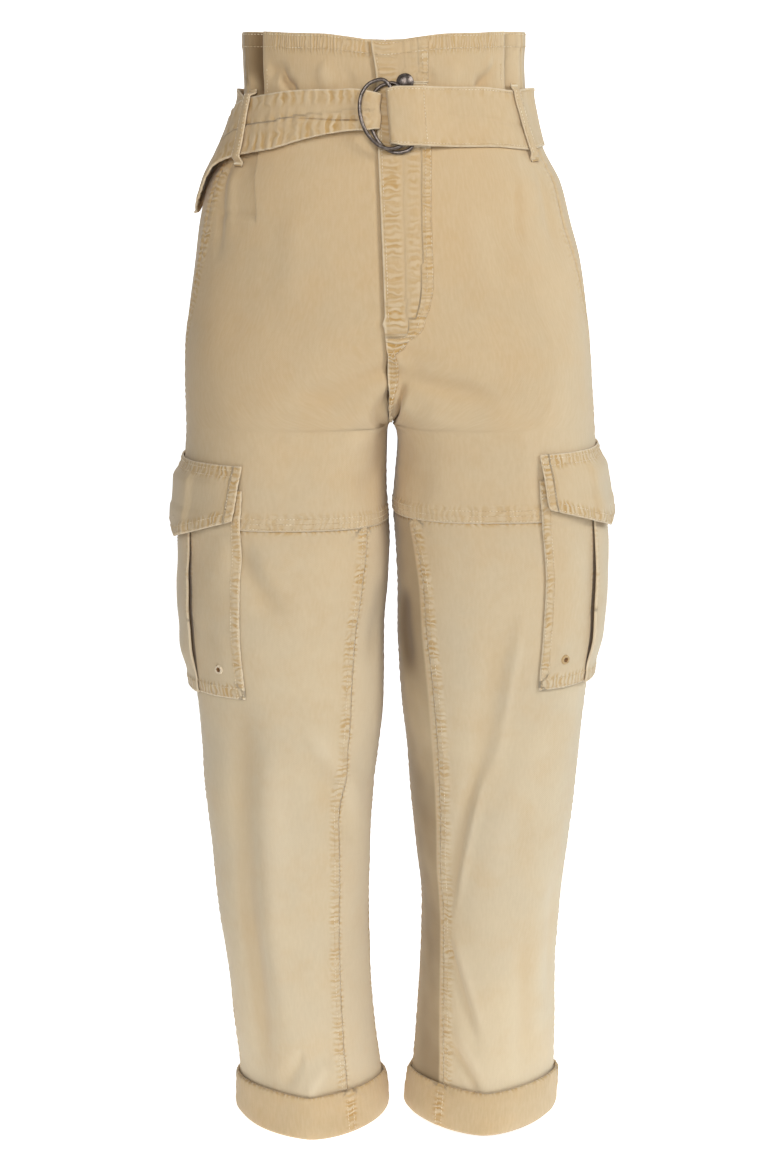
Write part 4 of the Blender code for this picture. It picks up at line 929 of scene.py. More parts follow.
belt = {
    "cloth": 0.0018,
    "width": 0.053,
    "rows": 12,  # above and below the fold
    "step": 0.0024,
    "edgeRow": 0.0026,
    "pucker": 0.00040,
    "strapRow": 0.0345,  # a row of stitches across, where the strap is sewn round the ring bars
    "strapKnots": (9, 13),  # rows of the route between which it lies
    "tailStart": 33,  # row of the route where the free end begins
    "foldGap": 0.006,
    # on the free end: place round the waist, share of the width where it is folded, and how deep
    "fold": ((-0.165, 0.05), (-0.145, 0.046), (-0.095, 0.0), (-0.070, -0.088), (-0.030, -0.25),
             (-0.016, -0.27)),
    "foldStep": ((-0.104, 0.0), (-0.088, 0.0008), (-0.070, 0.0014), (-0.025, 0.0014), (-0.012, 0.0008)),
    "ridge": 0.0009,
    "route": (  # turns, arc, level, lift, width, lean, splay
        (0, 0.0380, -0.0055, 0.0033, 0.043, 0, 0.0),
        (0, 0.0175, -0.0055, 0.0033, 0.043, 2, 0.0),
        (0, 0.0105, -0.0040, 0.0032, 0.045, 4, 0.0),
        (0, 0.0062, -0.0015, 0.0034, 0.048, 4, 0.0),
        (0, 0.0040, 0.0, 0.0052, 0.049, 4, 0.0),
        (0, 0.0036, 0.0, 0.0080, 0.049, 4, 0.0),
        (0, 0.0040, 0.0, 0.0110, 0.049, 4, 0.0),
        (0, 0.0064, 0.0, 0.0128, 0.050, 4, 0.0),
        (0, 0.0130, 0.0, 0.0133, 0.053, 4, 0.0),
        (0, 0.0260, 0.0, 0.0124, 0.053, 0, 0.0),
        (0, 0.0370, 0.0, 0.0084, 0.053, 0, 0.0),
        (0, 0.0490, 0.0, 0.0044, 0.053, 0, 0.0),
        (0, 0.0620, 0.0, 0.0019, 0.053, 0, 0.0),
        (0, 0.0900, 0.0, 0.0018, 0.053, 0, 0.0),
        (0, 0.1350, -0.0030, 0.0018, 0.053, 0, 0.0),
        (0, 0.1520, -0.0010, 0.0018, 0.053, 0, 0.0),
        (0, 0.1720, 0.0, 0.0078, 0.053, 0, -0.006),
        (0, 0.2050, 0.0, 0.0078, 0.053, 0, -0.006),
        (0, 0.2300, 0.0, 0.0018, 0.053, 0, 0.0),
        (0, 0.3600, 0.0, 0.0018, 0.053, 0, 0.0),
        (1, -0.2320, 0.0, 0.0018, 0.053, 0, 0.0),
        (1, -0.2100, 0.0, 0.0066, 0.053, 0, -0.0048),
        (1, -0.1860, 0.0, 0.0062, 0.053, 0, -0.0044),
        (1, -0.1500, -0.0075, 0.0018, 0.050, 0, 0.0),
        (1, -0.1150, -0.0060, 0.0018, 0.047, 0, 0.0),
        (1, -0.0800, 0.0000, 0.0018, 0.043, 0, 0.0),
        (1, -0.0500, 0.0040, 0.0018, 0.037, 0, 0.0),
        (1, -0.0250, 0.0050, 0.0017, 0.034, 0, 0.0),
        (1, -0.0120, 0.0045, 0.0017, 0.032, 0, 0.0),
        (1, -0.0072, 0.0045, 0.0021, 0.031, 0, 0.0),
        (1, -0.0048, 0.0045, 0.0036, 0.031, 0, 0.0),
        (1, -0.0044, 0.0045, 0.0050, 0.031, 0, 0.0),
        (1, -0.0050, 0.0045, 0.0067, 0.031, 0, 0.0),
        (1, -0.0078, 0.0048, 0.0083, 0.032, 0, 0.0),
        (1, -0.0160, 0.0052, 0.0087, 0.035, 0, 0.0),
        (1, -0.0280, 0.0058, 0.0078, 0.037, 0, 0.0),
        (1, -0.0450, 0.0045, 0.0052, 0.039, 0, 0.0),
        (1, -0.0720, 0.0014, 0.0047, 0.045, 2, 0.0),
        (1, -0.1000, -0.0040, 0.0047, 0.051, 6, 0.0),
        (1, -0.1300, -0.0092, 0.0048, 0.052, 10, 0.0),
        (1, -0.1480, -0.0150, 0.0064, 0.053, 20, 0.001),
        (1, -0.1620, -0.0260, 0.0062, 0.053, 36, 0.0048),
        (1, -0.1740, -0.0430, 0.0036, 0.053, 52, 0.0066),
        (1, -0.1830, -0.0640, 0.0022, 0.050, 62, 0.0062),
        (1, -0.1880, -0.0790, 0.0022, 0.030, 68, 0.0038),
        (1, -0.1900, -0.0880, 0.0022, 0.008, 70, 0.0032),
    ),
}


def waistLengths():
    across = np.linspace(0.0, 1.0, 401)
    lengths = {}
    for side in (-1, 1):
        steps = np.linalg.norm(np.diff(smoothSkin(side, across, 0 * across), axis=0), axis=1)
        lengths[side] = running(steps)
    return across, lengths


waistAcross, waistLength = waistLengths()
waistTurn = waistLength[1][-1] + waistLength[-1][-1]


def onWaist(arc, level, lift):
    # a point above the cloth, its place given by the length round the waist from the front middle
    arc = (np.asarray(arc, float) + waistLength[-1][-1]) % waistTurn - waistLength[-1][-1]
    arc, level, lift = np.broadcast_arrays(arc, level, lift)
    sides = {}
    for side in (-1, 1):
        across = np.interp(side * arc, waistLength[side], waistAcross)
        sides[side] = lifted(side, across, level, lift)
    return np.where((arc < 0)[..., None], sides[-1], sides[1])


def beltValues():
    names = ("turns", "arc", "level", "lift", "width", "lean", "splay")
    columns = dict(zip(names, np.array(belt["route"], float).T))
    columns["arc"] = columns["arc"] + columns["turns"] * waistTurn
    moves = np.hypot(np.hypot(np.diff(columns["arc"]), np.diff(columns["level"])), np.diff(columns["lift"]))
    knots = running(moves)
    return columns, knots


def beltSurface(place, share):
    # place runs along the belt, share from -0.5 at its lower edge to 0.5 at its upper one
    columns, knots = beltValues()
    values = {key: curveThrough(list(zip(knots, columns[key])), place) for key in columns if key != "turns"}
    lean = np.radians(values["lean"])
    around = values["arc"] - share * values["width"] * np.sin(lean)
    level = values["level"] + share * values["width"] * np.cos(lean)
    rise = values["lift"] + values["splay"] * (0.5 - share)
    return onWaist(around, level, rise), values


def beltRelief(place, share, values, tail):
    arc = values["arc"] - waistTurn
    fromTop, fromBottom = (0.5 - share) * values["width"], (0.5 + share) * values["width"]
    above = (share - curveThrough(belt["fold"], arc)) * values["width"]
    bunched = ease((0.046 - values["width"]) / 0.010)
    edge = near(fromTop, 0.009) * puckers(place, 1.0, 0.0096)
    edge = edge + near(fromBottom, 0.009) * puckers(place, 5.0, 0.0104)
    onFold = near(above, 0.008) * puckers(place, 2.6, 0.0100) * tail
    lift = belt["pucker"] * (edge + onFold) * (0.5 + 1.1 * tail)
    # bunched into the rings: lengthwise folds that fade away from them
    lift = lift + 0.0007 * bunched * np.cos(share * 2 * math.pi * 1.5 + 1.2 * np.sin(place * 30))
    # a soft crease along the wrap, on the wearer's left
    first = ease((values["arc"] - 0.030) / 0.015) * ease((0.165 - values["arc"]) / 0.03)
    aside = share * values["width"] - 0.0045 + 0.10 * (values["arc"] - 0.04)
    lift = lift - 0.0010 * first * near(aside, 0.0022)
    # the free end is folded along its length near the rings, which runs out as a ridge
    step = curveThrough(belt["foldStep"], arc) * tail
    lift = lift + 0.55 * step * near(np.maximum(above, 0.0), 0.012) * (above > 0)
    lift = lift - 0.60 * step * near(np.minimum(above, 0.0), 0.022) * (above <= 0)
    ridge = belt["ridge"] * tail * ease((-0.082 - arc) / 0.012) * ease((arc + 0.158) / 0.015)
    return lift + ridge * (near(above, 0.0024) - 0.5 * near(above + 0.006, 0.005))


def beltPiece():
    columns, knots = beltValues()
    tight = [knots[index] for index in range(len(knots) - 1) if knots[index + 1] - knots[index] < 0.0045]
    places = graded(0.0, knots[-1], belt["step"], (), 0.0012)
    extra = np.concatenate([np.linspace(start - 0.002, start + 0.002, 4) for start in tight])
    places = np.unique(np.round(np.concatenate([places, np.clip(extra, 0.0, knots[-1])]), 5))
    places = places[np.concatenate([[True], np.diff(places) > 0.0004])]
    tail = ease((places - knots[belt["tailStart"]]) / 0.008)
    arc = curveThrough(list(zip(knots, columns["arc"])), places) - waistTurn
    fold = curveThrough(belt["fold"], arc) * tail
    part = np.linspace(0.0, 1.0, belt["rows"] + 1) ** 0.9
    gap = belt["foldGap"] / 2
    lower = -0.5 + (fold[None, :] - gap + 0.5) * part[:, None]
    upper = 0.5 - (0.5 - fold[None, :] - gap) * part[::-1, None]
    shares = np.concatenate([lower, upper])
    place = places[None, :] + 0 * shares
    points, values = beltSurface(place, shares)
    normal = unit(np.cross(np.gradient(points, axis=1), np.gradient(points, axis=0)))
    relief = beltRelief(place, shares, values, tail[None, :])
    points = points + normal * relief[..., None]
    fromTop, fromBottom = (0.5 - shares) * values["width"], (0.5 + shares) * values["width"]
    edge = np.minimum(fromTop, fromBottom)
    above = (shares - fold[None, :]) * values["width"]
    onTail = edge - 0.0085 - 0.004 * (shares < 0)
    distance = np.where(tail[None, :] > 0.5, np.minimum(onTail, np.abs(above) + 0.001), edge - 0.004)
    seam = np.stack([place + 0.5 * (shares > 0), np.maximum(distance, 0.0) * 0.7], axis=-1)
    flat = np.stack([place, shares * belt["width"]], axis=-1)
    worn = 0.30 + 0.55 * tail[None, :] + 0 * shares
    # painted shadow along the free end's fold, where it lies under the rings
    overlap = tail[None, :] * ease((arc + 0.086) / 0.014) * ease((-0.016 - arc) / 0.010)
    crest = relief * 1.6 - shadow["underRings"] * overlap * near(above + 0.0004, 0.0011)
    clothSheet("belt", points, flat, seam, crest, edge, worn, thickness=belt["cloth"], offset=0.0)
    for field in (fromTop, fromBottom):
        sewRows("belt", field, (belt["edgeRow"],))
    first, last = belt["strapKnots"]
    strap = (place > knots[first]) & (place < knots[last])
    sewRows("belt", values["arc"], (belt["strapRow"],), "columns", strap & (edge > 0.003))


# ---- belt loops ----

loops = {
    "width": 0.0090,
    "cloth": 0.0014,
    "foot": 0.0050,
    "rowAside": 0.0027,
    # arc, drift towards the bottom, top, bottom, stand
    "places": {
        "loop_front_right": (-0.1375, 0.0100, 0.0250, -0.0440, 0.0086),
        "loop_front_left": (0.1340, 0.0010, 0.0300, -0.0400, 0.0048),
        "loop_back_right": (-0.2450, 0.0, 0.0340, -0.0400, 0.0046),
        "loop_back_left": (0.2450, 0.0, 0.0340, -0.0400, 0.0046),
        "loop_back_middle": (0.3620, 0.0, 0.0340, -0.0400, 0.0046),
    },
}


def loopSurface(name, t, across):
    # t runs from 0 at the top to 1 at the bottom; across from -0.5 to 0.5
    arc, drift, top, bottom, stand = loops["places"][name]
    low = 0.0016
    length = top - bottom
    foot = loops["foot"] / length
    up = ease((t - foot * 0.55) / (foot * 0.9)) * ease((1 - foot * 0.55 - t) / (foot * 0.9))
    bow = 0.0006 * np.sin(math.pi * np.clip(t, 0, 1))
    height = low + (stand - low) * up + bow
    rounded = -0.0007 * (2 * np.abs(across)) ** 3 + 0.0003 * np.cos(across * 2 * math.pi)
    around = arc + drift * t + across * loops["width"] * (1 + 0.10 * (1 - up))
    return onWaist(around, top - length * t, height + rounded)


def loopPiece(name):
    t = np.linspace(1.0, 0.0, 44)
    across = np.linspace(-0.5, 0.5, 9)
    grid, wide = np.meshgrid(t, across, indexing="ij")
    points = loopSurface(name, grid, wide)
    length = loops["places"][name][2] - loops["places"][name][3]
    flat = np.stack([wide * loops["width"], grid * length], axis=-1)
    ends = np.minimum(grid, 1 - grid) * length
    besideEdge = (0.5 - np.abs(wide)) * loops["width"]
    distance = np.minimum(ends * 0.6, np.where(wide > 0, besideEdge * 1.2, 0.02))
    seam = np.stack([grid * length, distance], axis=-1)
    clothSheet(name, points, flat, seam, None, besideEdge * 1.4, 0.8, thickness=loops["cloth"], offset=0.0)
    rows = (-loops["rowAside"], loops["rowAside"])
    sewRows(name, wide * loops["width"], rows, "columns", ends > loops["foot"])
    for end in (loops["foot"] * 0.45, length - loops["foot"] * 0.45):
        sew(name, trace(name, grid * length, end), 0.0008, True, 0.0024)


# ---- cargo pockets and their flaps ----

pocket = {
    "middle": 0.455,
    "top": {-1: -0.321, 1: -0.311},
    "start": 0.016,
    "half": 0.0855,
    "length": 0.218,
    "pleatHalf": 0.0205,
    "under": 0.0070,
    "fold": 0.0023,  # bends of the box pleat: the hidden one, and the edge that shows
    "edge": 0.0009,
    "base": 0.0018,
    "hem": 0.0125,
    "edgeRows": (0.0020, 0.0084),
    "hemRows": (0.0022, 0.0108),
    "pleatRow": 0.0012,
    "cloth": 0.0012,
    "eyelet": {"fromEdge": 0.0270, "fromEnd": 0.0280, "raised": 0.0006, "hole": 0.0024,
               "profile": ((0.0, 0.0004), (0.0021, 0.0004), (0.0023, 0.0012), (0.0028, 0.0018),
                           (0.0037, 0.0018), (0.0044, 0.0012), (0.0047, 0.0003), (0.0047, -0.0008))},
}
flap = {
    "half": 0.0845,
    "top": {-1: -0.314, 1: -0.303},
    "corner": 0.0500,
    "point": 0.0745,
    "taper": 0.06,
    "cloth": 0.0017,
    "flare": 0.0042,
    "rows": (0.0022, 0.0086),
    "topRows": (0.0036, 0.0098),
}


def legGirth(side, level):
    points = smoothSkin(side, np.linspace(0.0, 1.0, 61), np.full(61, level))
    return np.linalg.norm(np.diff(points, axis=0), axis=1).sum()


def girthAt(side, level):
    knots = np.linspace(-0.60, -0.28, 17)
    return np.interp(-np.asarray(level), -knots, [legGirth(side, knot) for knot in knots])


def overThigh(side, nominal):
    # the pocket lies over the thigh seam, which is thicker than the panels
    above = nominal - form["thighSeam"][side]
    return 0.0012 * ease((above + 0.004) / 0.004) * ease((form["thighBand"] + 0.004 - above) / 0.004)


def pocketSection():
    run = pocket["half"] - pocket["pleatHalf"]
    half = [("run", run + pocket["under"], 24), ("turn", 180, pocket["fold"], 5), ("run", pocket["under"], 4),
            ("turn", -180, pocket["edge"], 6)]
    strip = [("run", 2 * pocket["pleatHalf"], 16)]
    x, height, slope = section(half + strip + half[::-1], (-pocket["half"], 0.0, 0.0))
    return x - (x[0] + x[-1]) / 2, height, slope


def pocketLevels(side):
    return pocket["top"][side] - pocket["start"], pocket["top"][side] - pocket["length"]


def pocketSurface(side, x, nominal, height):
    top, bottom = pocketLevels(side)
    across = pocket["middle"] + x / girthAt(side, nominal)
    down = (top - nominal) / (top - bottom)
    fromEdge = pocket["half"] - np.abs(x)
    fromEnd = nominal - bottom
    body = pocket["base"] * softEdge(np.minimum(fromEdge, fromEnd) + 0.0006, 0.004) + 0.0009
    body = body + 0.0006 * np.sin(math.pi * np.clip(down, 0, 1)) * ease(fromEdge / 0.03)
    hem = pocket["hem"]
    besideHem = near(np.maximum(fromEnd - hem, 0), 0.004)
    body = body + 0.0005 * ease((hem - fromEnd) / 0.0012) + 0.00030 * besideHem * puckers(x, 1.0 + side, 0.0085)
    body = body + 0.00030 * near(fromEdge, 0.006) * puckers(nominal, 3.0 + side, 0.0088)
    sag = ripple(x, nominal, 0.045, 31 + side) * 0.0006 * ease(fromEdge / 0.02) * ease(fromEnd / 0.03)
    # the pleat is held flat at its top and hem, and opens between
    opened = (0.35 + 0.65 * ease((down - 0.05) / 0.5)) * (0.45 + 0.55 * ease((fromEnd - hem) / 0.03))
    rise = body + sag + height * opened + overThigh(side, nominal)
    return skin(side, across, nominal, rise), faceDirection(side, across, nominal)


def pocketPiece(side):
    name = f"pocket_{sideWord[side]}"
    x, height, slope = pocketSection()
    top, bottom = pocketLevels(side)
    levels = graded(bottom, top, 0.0030, (bottom + pocket["hem"], bottom), 0.0012, 0.003)
    nominal, wide = np.meshgrid(levels, x, indexing="ij")
    points, _ = pocketSurface(side, wide, nominal, height[None, :])
    fromEdge, fromEnd = pocket["half"] - np.abs(wide), nominal - bottom
    hemLine = np.abs(fromEnd - pocket["hem"] * 0.5) - 0.004
    slit = np.abs(np.abs(wide) - pocket["pleatHalf"] - 0.001) + 0.0022
    distance = np.minimum(np.minimum(np.maximum(hemLine, 0), np.maximum(fromEdge - 0.004, 0)), np.abs(slit))
    along = np.where(hemLine < fromEdge - 0.004, wide, nominal)
    seam = np.stack([along + 3.0, distance * 0.8], axis=-1)
    flat = np.stack([wide * side, nominal], axis=-1)
    # painted shade: the slits beside the pleat and the sharp hidden bends of its folds are painted dark inside
    under = (height < pocket["fold"])[None, :] * ease((pocket["pleatHalf"] + 0.0020 - np.abs(wide)) / 0.0030)
    bent = (ease((np.abs(slope) - 0.8) / 1.2) * (height < 2 * pocket["fold"]))[None, :]
    edge = np.minimum(fromEdge, fromEnd)
    onPleat = 0.0003 + np.abs(np.abs(wide) - pocket["pleatHalf"] - 0.0012)
    edge = np.where(np.abs(wide) < 0.05, np.minimum(edge, onPleat), edge)
    clothSheet(name, points, flat, seam, -shadow["slit"] * np.maximum(bent, under), edge, flip=side < 0,
               thickness=pocket["cloth"], offset=0.0)
    onStrip = (np.abs(wide) < pocket["pleatHalf"]) & (height[None, :] > 2 * pocket["fold"] + pocket["edge"])
    for sign in (-1, 1):
        rows = [sign * (pocket["half"] - distance) for distance in pocket["edgeRows"]]
        sewRows(name, wide, rows, "columns", np.abs(wide) > 0.05)
        sewRows(name, wide, (sign * (pocket["pleatHalf"] - pocket["pleatRow"]),), "columns", onStrip)
    flatPart = (np.abs(slope) < 0.3)[None, :] & (fromEdge > 0.002)
    sewRows(name, fromEnd, pocket["hemRows"], where=flatPart)


def flapLength(x):
    aside = np.abs(x) / flap["half"]
    return flap["corner"] + (flap["point"] - flap["corner"]) * (1 - aside)


def flapSurface(side, x, share):
    length = flapLength(x)
    nominal = flap["top"][side] - length * share
    across = pocket["middle"] + x * (1 - flap["taper"] * share) / girthAt(side, nominal)
    aside = np.abs(x) / flap["half"]
    overBag = pocket["base"] + 0.0025 + (pocket["fold"] + pocket["edge"]) * ease((0.030 - np.abs(x)) / 0.008)
    down = share * length
    hollow = 0.0008 + (overBag - 0.0008) * ease((down - 0.004) / 0.016)
    flare = flap["flare"] * (1 - aside ** 2) * share ** 2 + 0.0016 * share ** 2 * aside
    fromEdge = np.minimum(flap["half"] - np.abs(x), length - down)
    edge = 0.0012 * softEdge(fromEdge + 0.0003, 0.0035)
    wave = 0.00035 * near(fromEdge, 0.007) * puckers(x + down, 2.0 + side, 0.0105)
    wave = wave + 0.0003 * near(down, 0.006) * puckers(x, 6.0 + side, 0.0090)
    groove = -0.0008 * near(down - 0.0012, 0.0014)
    dent = ripple(x, down, 0.040, 51 + side) * 0.0007 * ease(down / 0.02)
    rise = hollow + flare + edge + wave + groove + dent + overThigh(side, nominal)
    return skin(side, across, nominal, rise + flap["cloth"] / 2)


def flapPiece(side):
    name = f"flap_{sideWord[side]}"
    x = graded(-flap["half"], flap["half"], 0.0026, (-flap["half"], flap["half"]), 0.0012, 0.003)
    share = graded(1.0, 0.0, 0.044, (1.0, 0.0), 0.020, 0.05)
    down, wide = np.meshgrid(share, x, indexing="ij")
    points = flapSurface(side, wide, down)
    length = flapLength(wide)
    fromSide, fromEnd, fromTop = flap["half"] - np.abs(wide), length * (1 - down), length * down
    fromEdge = np.minimum(np.minimum(fromSide, fromEnd), fromTop)
    distance = np.maximum(np.abs(fromEdge - 0.0045) - 0.0045, 0.0)
    seam = np.stack([np.where(fromSide < 0.009, fromTop, wide) + 7.0, distance * 0.9], axis=-1)
    flat = np.stack([wide * side, -length * down], axis=-1)
    edge = np.minimum(np.minimum(fromSide, fromEnd), fromTop + 0.0008)
    clothSheet(name, points, flat, seam, None, edge, flip=side < 0, thickness=flap["cloth"], offset=0.0)
    for distance in flap["rows"]:
        fromMiddle = flap["half"] - distance
        sewRows(name, wide, (-fromMiddle, fromMiddle), "columns", (fromEnd > distance) & (fromTop > 0.004))
        sewRows(name, fromEnd, (distance,), where=fromSide > distance)
    sewRows(name, fromTop, flap["topRows"], where=fromSide > 0.002)


# ---- turn-ups ----

cuff = {
    "level": {-1: -0.9795, 1: -0.9750},
    "height": 0.0365,
    # lift from the leg, height as a share of the cuff: outside up and over, down inside
    "section": ((0.0009, 0.10), (0.0010, 0.60), (0.0012, 0.96), (0.0020, 1.02), (0.0033, 1.03),
                (0.0044, 0.98), (0.0049, 0.80), (0.0050, 0.50), (0.0050, 0.20), (0.0044, 0.03),
                (0.0028, -0.03), (0.0000, -0.04), (-0.0026, -0.03), (-0.0037, 0.05), (-0.0038, 0.30),
                (-0.0038, 0.55), (-0.0025, 0.56), (-0.0023, 0.30), (-0.0021, 0.10), (-0.0006, 0.075)),
    "point": 0.0030,
    "seamRows": (-0.0024, 0.0042),
}


def cuffLine(across, height):
    # the top edge hangs lower in front, with a small point at the crease
    dip = form["hemDip"] * np.sin(2 * math.pi * across)
    crease = cuff["point"] * near(across - 0.25, 0.05)
    return -dip * (1 - 1.4 * np.maximum(height, 0.0)) - crease * np.maximum(height, 0.0) * 0.5


def cuffSurface(side, across, lift, height):
    level = cuff["level"][side] + cuff["height"] * height + cuffLine(across, height)
    outside = ease((lift - 0.002) / 0.002)
    fromTop = (1.0 - height) * cuff["height"]
    around = across * cloth["flatHalf"]
    waves = 0.0005 * outside * near(fromTop, 0.006) * puckers(around, 1.0 + side, 0.011)
    size = sizeAcross(side, across, level)
    for line in (innerSeam(side, level), 0.5, 0.0, 1.0):
        beside = (across - line) * size
        ridge = 0.0007 * near(beside, 0.006) * (0.5 + 0.5 * puckers(level, 3.0, 0.009))
        waves = waves + outside * (ridge - 0.0009 * near(beside, 0.0012))
    gentle = outside * 0.0008 * ripple(around, level, 0.05, 71 + side)
    return skin(side, across, level, lift + waves + gentle), level


def cuffPiece(side):
    name = f"cuff_{sideWord[side]}"
    profile = np.array(cuff["section"] + cuff["section"][:1])
    moves = np.hypot(np.diff(profile[:, 0]), np.diff(profile[:, 1]) * cuff["height"])
    steps = running(moves)
    place = np.linspace(0.0, steps[-1], 52)
    lift = np.interp(place, steps, profile[:, 0])
    height = np.interp(place, steps, profile[:, 1])
    across = np.linspace(0.0, 1.0, 171)
    lifts, acrosses = np.meshgrid(lift, across, indexing="ij")
    heights = np.broadcast_to(height[:, None], lifts.shape)
    points, level = cuffSurface(side, acrosses, lifts, heights)
    size = sizeAcross(side, acrosses, level)
    fromSeams = (acrosses, 1 - acrosses, np.abs(acrosses - 0.5), np.abs(acrosses - innerSeam(side, level)))
    bySeam = np.maximum(np.min(fromSeams, axis=0) * size - 0.003, 0.0)
    fromTop = np.abs(1.0 - heights) * cuff["height"]
    byTop = fromTop * 1.2 + 0.002
    around = acrosses * cloth["flatHalf"]
    seam = np.stack([np.where(byTop < bySeam, around + 9.0, level), np.minimum(byTop, bySeam)], axis=-1)
    flat = np.stack([around * side, np.broadcast_to(place[:, None], lifts.shape)], axis=-1)
    outside = lifts > 0.0040
    edge = np.where(outside, np.minimum(fromTop, np.maximum(heights, 0.0) * cuff["height"] + 0.0006), 0.05)
    clothSheet(name, points, flat, seam, None, edge, flip=side > 0, closed=True)
    beside = (acrosses - innerSeam(side, level)) * size
    sewRows(name, beside, cuff["seamRows"], "columns", outside & (heights > 0.05) & (heights < 0.92))


flyPiece()
beltPiece()
for name in loops["places"]:
    loopPiece(name)
for side in (-1, 1):
    pocketPiece(side)
    flapPiece(side)
    cuffPiece(side)
print("fly, belt, loops, pockets and turn-ups built")


# ---- rings, button and eyelets ----

rings = {
    "wire": 0.0034,
    "halfHeight": 0.0305,
    "forward": 0.0214,
    "behind": 0.0130,
    "barRound": 4.0,
    "base": 0.0899,
    "slope": 0.110,
    "steps": 110,
    "sides": 14,
    # x, level, tilt, lift of the bar, lift of the round side
    "places": {"ring_upper": (0.0002, 0.0022, 19.0, 0.0088, 0.0121),
               "ring_lower": (0.0080, -0.0010, 14.5, 0.0059, 0.0047)},
}


def metalPiece(name, mesh):
    data = meshData(f"{name}_metal", mesh)
    data.shade_smooth()
    piece = placed(f"{name}_metal", data)
    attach(piece, "root")
    return piece


def ringPiece(name):
    # a round of wire drawn along the ring, and closed on itself
    x, level, tilt, liftBar, liftRound = rings["places"][name]
    tilt = math.radians(tilt)
    angle = np.linspace(0.0, 2 * math.pi, rings["steps"], endpoint=False)
    barSide = np.cos(angle) > 0
    exponent = np.where(barSide, 2 / rings["barRound"], 1.0)
    beside = np.where(barSide, rings["behind"], rings["forward"]) * power(np.cos(angle), exponent)
    height = rings["halfHeight"] * power(np.sin(angle), exponent)
    share = (rings["behind"] - beside) / (rings["behind"] + rings["forward"])
    up = level + beside * math.sin(tilt) + height * math.cos(tilt)
    out = rings["slope"] * up - rings["base"] - liftBar - (liftRound - liftBar) * share
    path = np.stack([x + beside * math.cos(tilt) - height * math.sin(tilt), out, up], axis=-1)
    along = unit(np.roll(path, -1, axis=0) - np.roll(path, 1, axis=0))
    frames = []
    for point, direction in zip(path, along):
        aside = unit(np.cross(direction, (0.0, -1.0, 0.0)))
        axes = np.stack([aside, np.cross(direction, aside), direction], axis=1)
        turned = Matrix([[*row, 0.0] for row in axes] + [[0, 0, 0, 1]])
        turned.translation = Vector(point)
        frames.append(turned)
    mesh = bmesh.new()
    bmesh.ops.create_circle(mesh, segments=rings["sides"], radius=rings["wire"] / 2, matrix=frames[0])
    first = mesh.edges[:]
    edges = first
    for before, after in zip(frames[:-1], frames[1:]):
        grown = bmesh.ops.extrude_edge_only(mesh, edges=edges)["geom"]
        verts = [vert for vert in grown if isinstance(vert, bmesh.types.BMVert)]
        bmesh.ops.transform(mesh, matrix=after @ before.inverted(), verts=verts)
        edges = [edge for edge in grown if isinstance(edge, bmesh.types.BMEdge)]
        edges = [edge for edge in edges if all(vert in grown for vert in edge.verts)]
    bmesh.ops.bridge_loops(mesh, edges=first + edges)
    bmesh.ops.recalc_face_normals(mesh, faces=mesh.faces[:])
    return metalPiece(name, mesh)


def spun(profile, steps, together):
    # a profile of radius and height turned round the upright axis
    mesh = bmesh.new()
    verts = [mesh.verts.new((radius, 0.0, height)) for radius, height in profile]
    edges = [mesh.edges.new(pair) for pair in zip(verts, verts[1:])]
    bmesh.ops.spin(mesh, geom=verts + edges, cent=(0.0, 0.0, 0.0), axis=(0.0, 0.0, 1.0), angle=2 * math.pi,
                   steps=steps, use_merge=True)
    bmesh.ops.remove_doubles(mesh, verts=mesh.verts[:], dist=together)
    bmesh.ops.recalc_face_normals(mesh, faces=mesh.faces[:])
    return mesh


def turnedPiece(name, profile, place, direction):
    mesh = spun(profile, 48, 1e-6)
    turn = Vector(direction).to_track_quat("Z", "Y").to_matrix().to_4x4()
    bmesh.ops.transform(mesh, matrix=Matrix.Translation(Vector(place)) @ turn, verts=mesh.verts[:])
    return metalPiece(name, mesh)


metal = {name: ringPiece(name) for name in rings["places"]}
facing = faceDirection(1, np.array(0.0), np.array(button["level"]))
lowest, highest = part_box("button")
middle = (Vector(lowest) + Vector(highest)) / 2
metal["button"] = turnedPiece("button", button["profile"], middle - Vector(facing) * button["sunk"], facing)
for side in (-1, 1):
    name, spec = f"eyelet_{sideWord[side]}", pocket["eyelet"]
    aside = np.array([-pocket["half"] + spec["fromEdge"]])
    nominal = np.array([pocketLevels(side)[1] + spec["fromEnd"]])
    place, facing = pocketSurface(side, aside, nominal, np.zeros(1))
    metal[name] = turnedPiece(name, spec["profile"], place[0] + facing[0] * spec["raised"], facing[0])
for name in sorted(stitchRows):
    pieces[f"{name}_stitches"] = stitchPiece(name)
print("metal and stitches built")


# ---- shader tools ----

class Socket:  # a shader socket; maths on it adds Math nodes
    def __init__(self, graph, link):
        self.graph, self.link = graph, link

    def math(self, operation, *values):
        return self.graph.add("ShaderNodeMath", {"operation": operation}, dict(enumerate(values)))["Value"]

    def __add__(self, other):
        return self.math("ADD", self, other)

    def __radd__(self, other):
        return self.math("ADD", other, self)

    def __sub__(self, other):
        return self.math("SUBTRACT", self, other)

    def __rsub__(self, other):
        return self.math("SUBTRACT", other, self)

    def __mul__(self, other):
        return self.math("MULTIPLY", self, other)

    def __rmul__(self, other):
        return self.math("MULTIPLY", other, self)

    def __truediv__(self, other):
        return self.math("DIVIDE", self, other)

    def __pow__(self, other):
        return self.math("POWER", self, other)

    def between(self, low, high):
        # 0 at low, 1 at high, smooth on the way
        return self.graph.add("ShaderNodeMapRange", {"interpolation_type": "SMOOTHSTEP"},
                              {"Value": self, "From Min": low, "From Max": high})["Result"]


